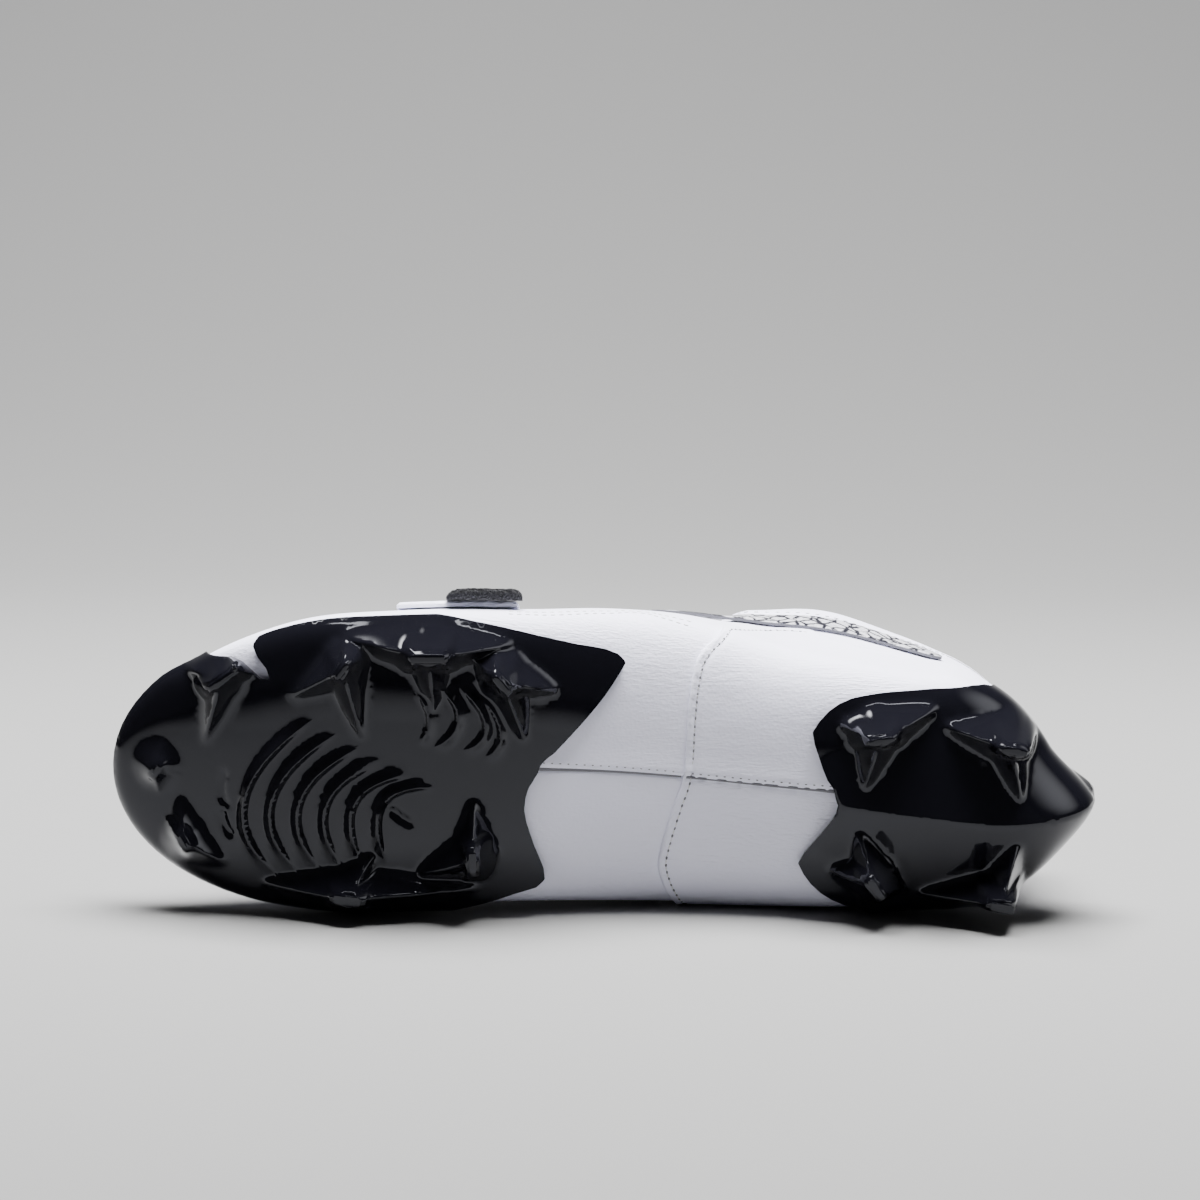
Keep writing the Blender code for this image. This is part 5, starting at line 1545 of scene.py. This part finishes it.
def make_camera():
    """The camera at the photograph's angle to the sole."""
    toward = REST.to_3x3() @ Vector((0, math.sin(VIEW_TILT), -math.cos(VIEW_TILT)))
    up = REST.to_3x3() @ Vector((0, math.cos(VIEW_TILT), math.sin(VIEW_TILT)))
    middle = REST @ Vector((VIEW_X, 0, 0))
    data = bpy.data.cameras.new("camera")
    data.sensor_width = SENSOR
    data.lens = SENSOR * VIEW_DISTANCE / PIXEL / IMAGE * VIEW_ENLARGE
    camera = linked("camera", data)
    camera.location = middle + toward * VIEW_DISTANCE
    aim = middle + up * VIEW_RISE
    back = (camera.location - aim).normalized()
    right = up.cross(back).normalized()
    level = back.cross(right)
    turned = Matrix((right, level, back)).transposed().to_4x4()
    camera.matrix_world = Matrix.Translation(camera.location) @ turned
    data.clip_start = 0.05
    data.clip_end = 20
    bpy.context.scene.camera = camera


def aimed(thing, where, target):
    """Puts a light or a card where it stands, facing its target."""
    thing.location = where
    thing.rotation_euler = (Vector(target) - Vector(where)).to_track_quat("-Z", "Y").to_euler()


def stage_mesh(name, points, faces, material):
    """A mesh in the scene's own frame, with its material."""
    data = bpy.data.meshes.new(name)
    data.from_pydata(points, [], faces)
    data.materials.append(material)
    return data


def along_floor(made):
    """How far back a point of the floor lies."""
    where = node(made, "ShaderNodeTexCoord").outputs["Object"]
    return node(made, "ShaderNodeSeparateXYZ", {0: where}).outputs["Y"]


def area_light(name, size, watts, where, target, glossy=True):
    data = bpy.data.lights.new(name, "AREA")
    data.shape = "RECTANGLE"
    data.size, data.size_y = size
    data.energy = watts
    lamp = linked(name, data)
    aimed(lamp, where, target)
    lamp.visible_glossy = glossy


def make_backdrop():
    """A pale floor that curves up into a backdrop, its colour darkened far back and towards the front as
    painted shade.
    """
    made, shader = shader_of("pale_backdrop", FLOOR_COLOUR, 0.9, Specular_IOR_Level=0.2)
    along = along_floor(made)
    # Painted shade: the floor's colour darkens far behind the shoe and towards the front, standing in for the
    # light's falloff
    behind = ramp(made, along, 0.20, 1.15, 1.0, 0.72, "SMOOTHSTEP")
    before = ramp(made, along, -0.02, -0.36, 1.0, 0.905)
    light = maths(made, "MULTIPLY", behind, before)
    link(made, blend(made, light, (0, 0, 0), FLOOR_COLOUR), shader, "Base Color")
    radius, back, high = 0.9, 1.6, 3.2
    turn = np.linspace(0, math.pi / 2, 24)
    line = [(-6.0, 0.0), (back - radius, 0.0)]
    line += [(back - radius + radius * math.sin(a), radius - radius * math.cos(a)) for a in turn[1:]]
    line += [(back, high)]
    points = [(x, y, z) for y, z in line for x in (-HALF_WIDE, HALF_WIDE)]
    faces = [(2 * i, 2 * i + 1, 2 * i + 3, 2 * i + 2) for i in range(len(line) - 1)]
    data = stage_mesh("backdrop", points, faces, made)
    data.shade_smooth()
    linked("backdrop", data)


def hide_card(card):
    """Leaves a card to reflections alone."""
    card.visible_camera = False
    card.visible_diffuse = False
    card.visible_shadow = False
    card.visible_transmission = False


def make_card(name, near, far, dark, height):
    """A card that only reflections see and that turns black away from the shoe, as a studio flags gloss."""
    made, shader = shader_of(name, FLOOR_COLOUR, 0.9, Specular_IOR_Level=0.0)
    share = ramp(made, along_floor(made), dark, near, kind="SMOOTHSTEP")
    link(made, blend(made, share, (0, 0, 0), FLOOR_COLOUR), shader, "Base Color")
    corners = [(-HALF_WIDE, far), (HALF_WIDE, far), (HALF_WIDE, near), (-HALF_WIDE, near)]
    data = stage_mesh(name, [(*corner, height) for corner in corners], [(0, 1, 2, 3)], made)
    hide_card(linked(name, data))


def make_glow(name, size, strength, where, target):
    """A soft-edged light that only gloss sees."""
    made, shader = shader_of(name, (0.0, 0.0, 0.0), 1.0, Specular_IOR_Level=0.0)
    inside = node(made, "ShaderNodeTexCoord").outputs["Object"]
    away = node(made, "ShaderNodeVectorMath", {0: inside}, operation="LENGTH").outputs["Value"]
    fall = ramp(made, away, 0.5, 0.1, 0.0, strength, "SMOOTHSTEP")
    shader.inputs["Emission Color"].default_value = (1, 1, 1, 1)
    link(made, fall, shader, "Emission Strength")
    corners = [(-0.5, -0.5, 0), (0.5, -0.5, 0), (0.5, 0.5, 0), (-0.5, 0.5, 0)]
    card = linked(name, stage_mesh(name, corners, [(0, 1, 2, 3)], made))
    aimed(card, where, target)
    card.scale = (*size, 1)
    hide_card(card)


def make_light():
    world = bpy.data.worlds.new("studio")
    bpy.context.scene.world = world
    world.use_nodes = True
    sky = world.node_tree.nodes["Background"].inputs
    sky["Color"].default_value = (0.92, 0.94, 1.0, 1)
    sky["Strength"].default_value = 0.05
    area_light("overhead", (1.2, 0.75), 137, (0.05, 0.17, 1.30), (0, 0.05, 0.0), glossy=False)
    make_glow("heel_side", (1.5, 1.2), 2.6, (1.00, -0.22, 0.80), (0.1, 0.0, 0.05))
    make_glow("sparkle", (0.45, 0.45), 22.0, (-0.45, 0.60, 1.30), (0.0, 0.0, 0.05))
    area_light("strip", (0.9, 0.10), 4, (0.0, -0.12, 1.30), (0, 0.0, 0.05))
    make_card("floor_card", -0.36, -6.0, -0.95, 0.0015)


for step in (make_camera, make_backdrop, make_light, make_upper, make_counter, make_seams,
             make_binding_stitches, make_plates, make_insole, make_tongue, make_laces, make_strap,
             make_strap_tab, make_trim_band):
    step()

bpy.context.view_layer.update()
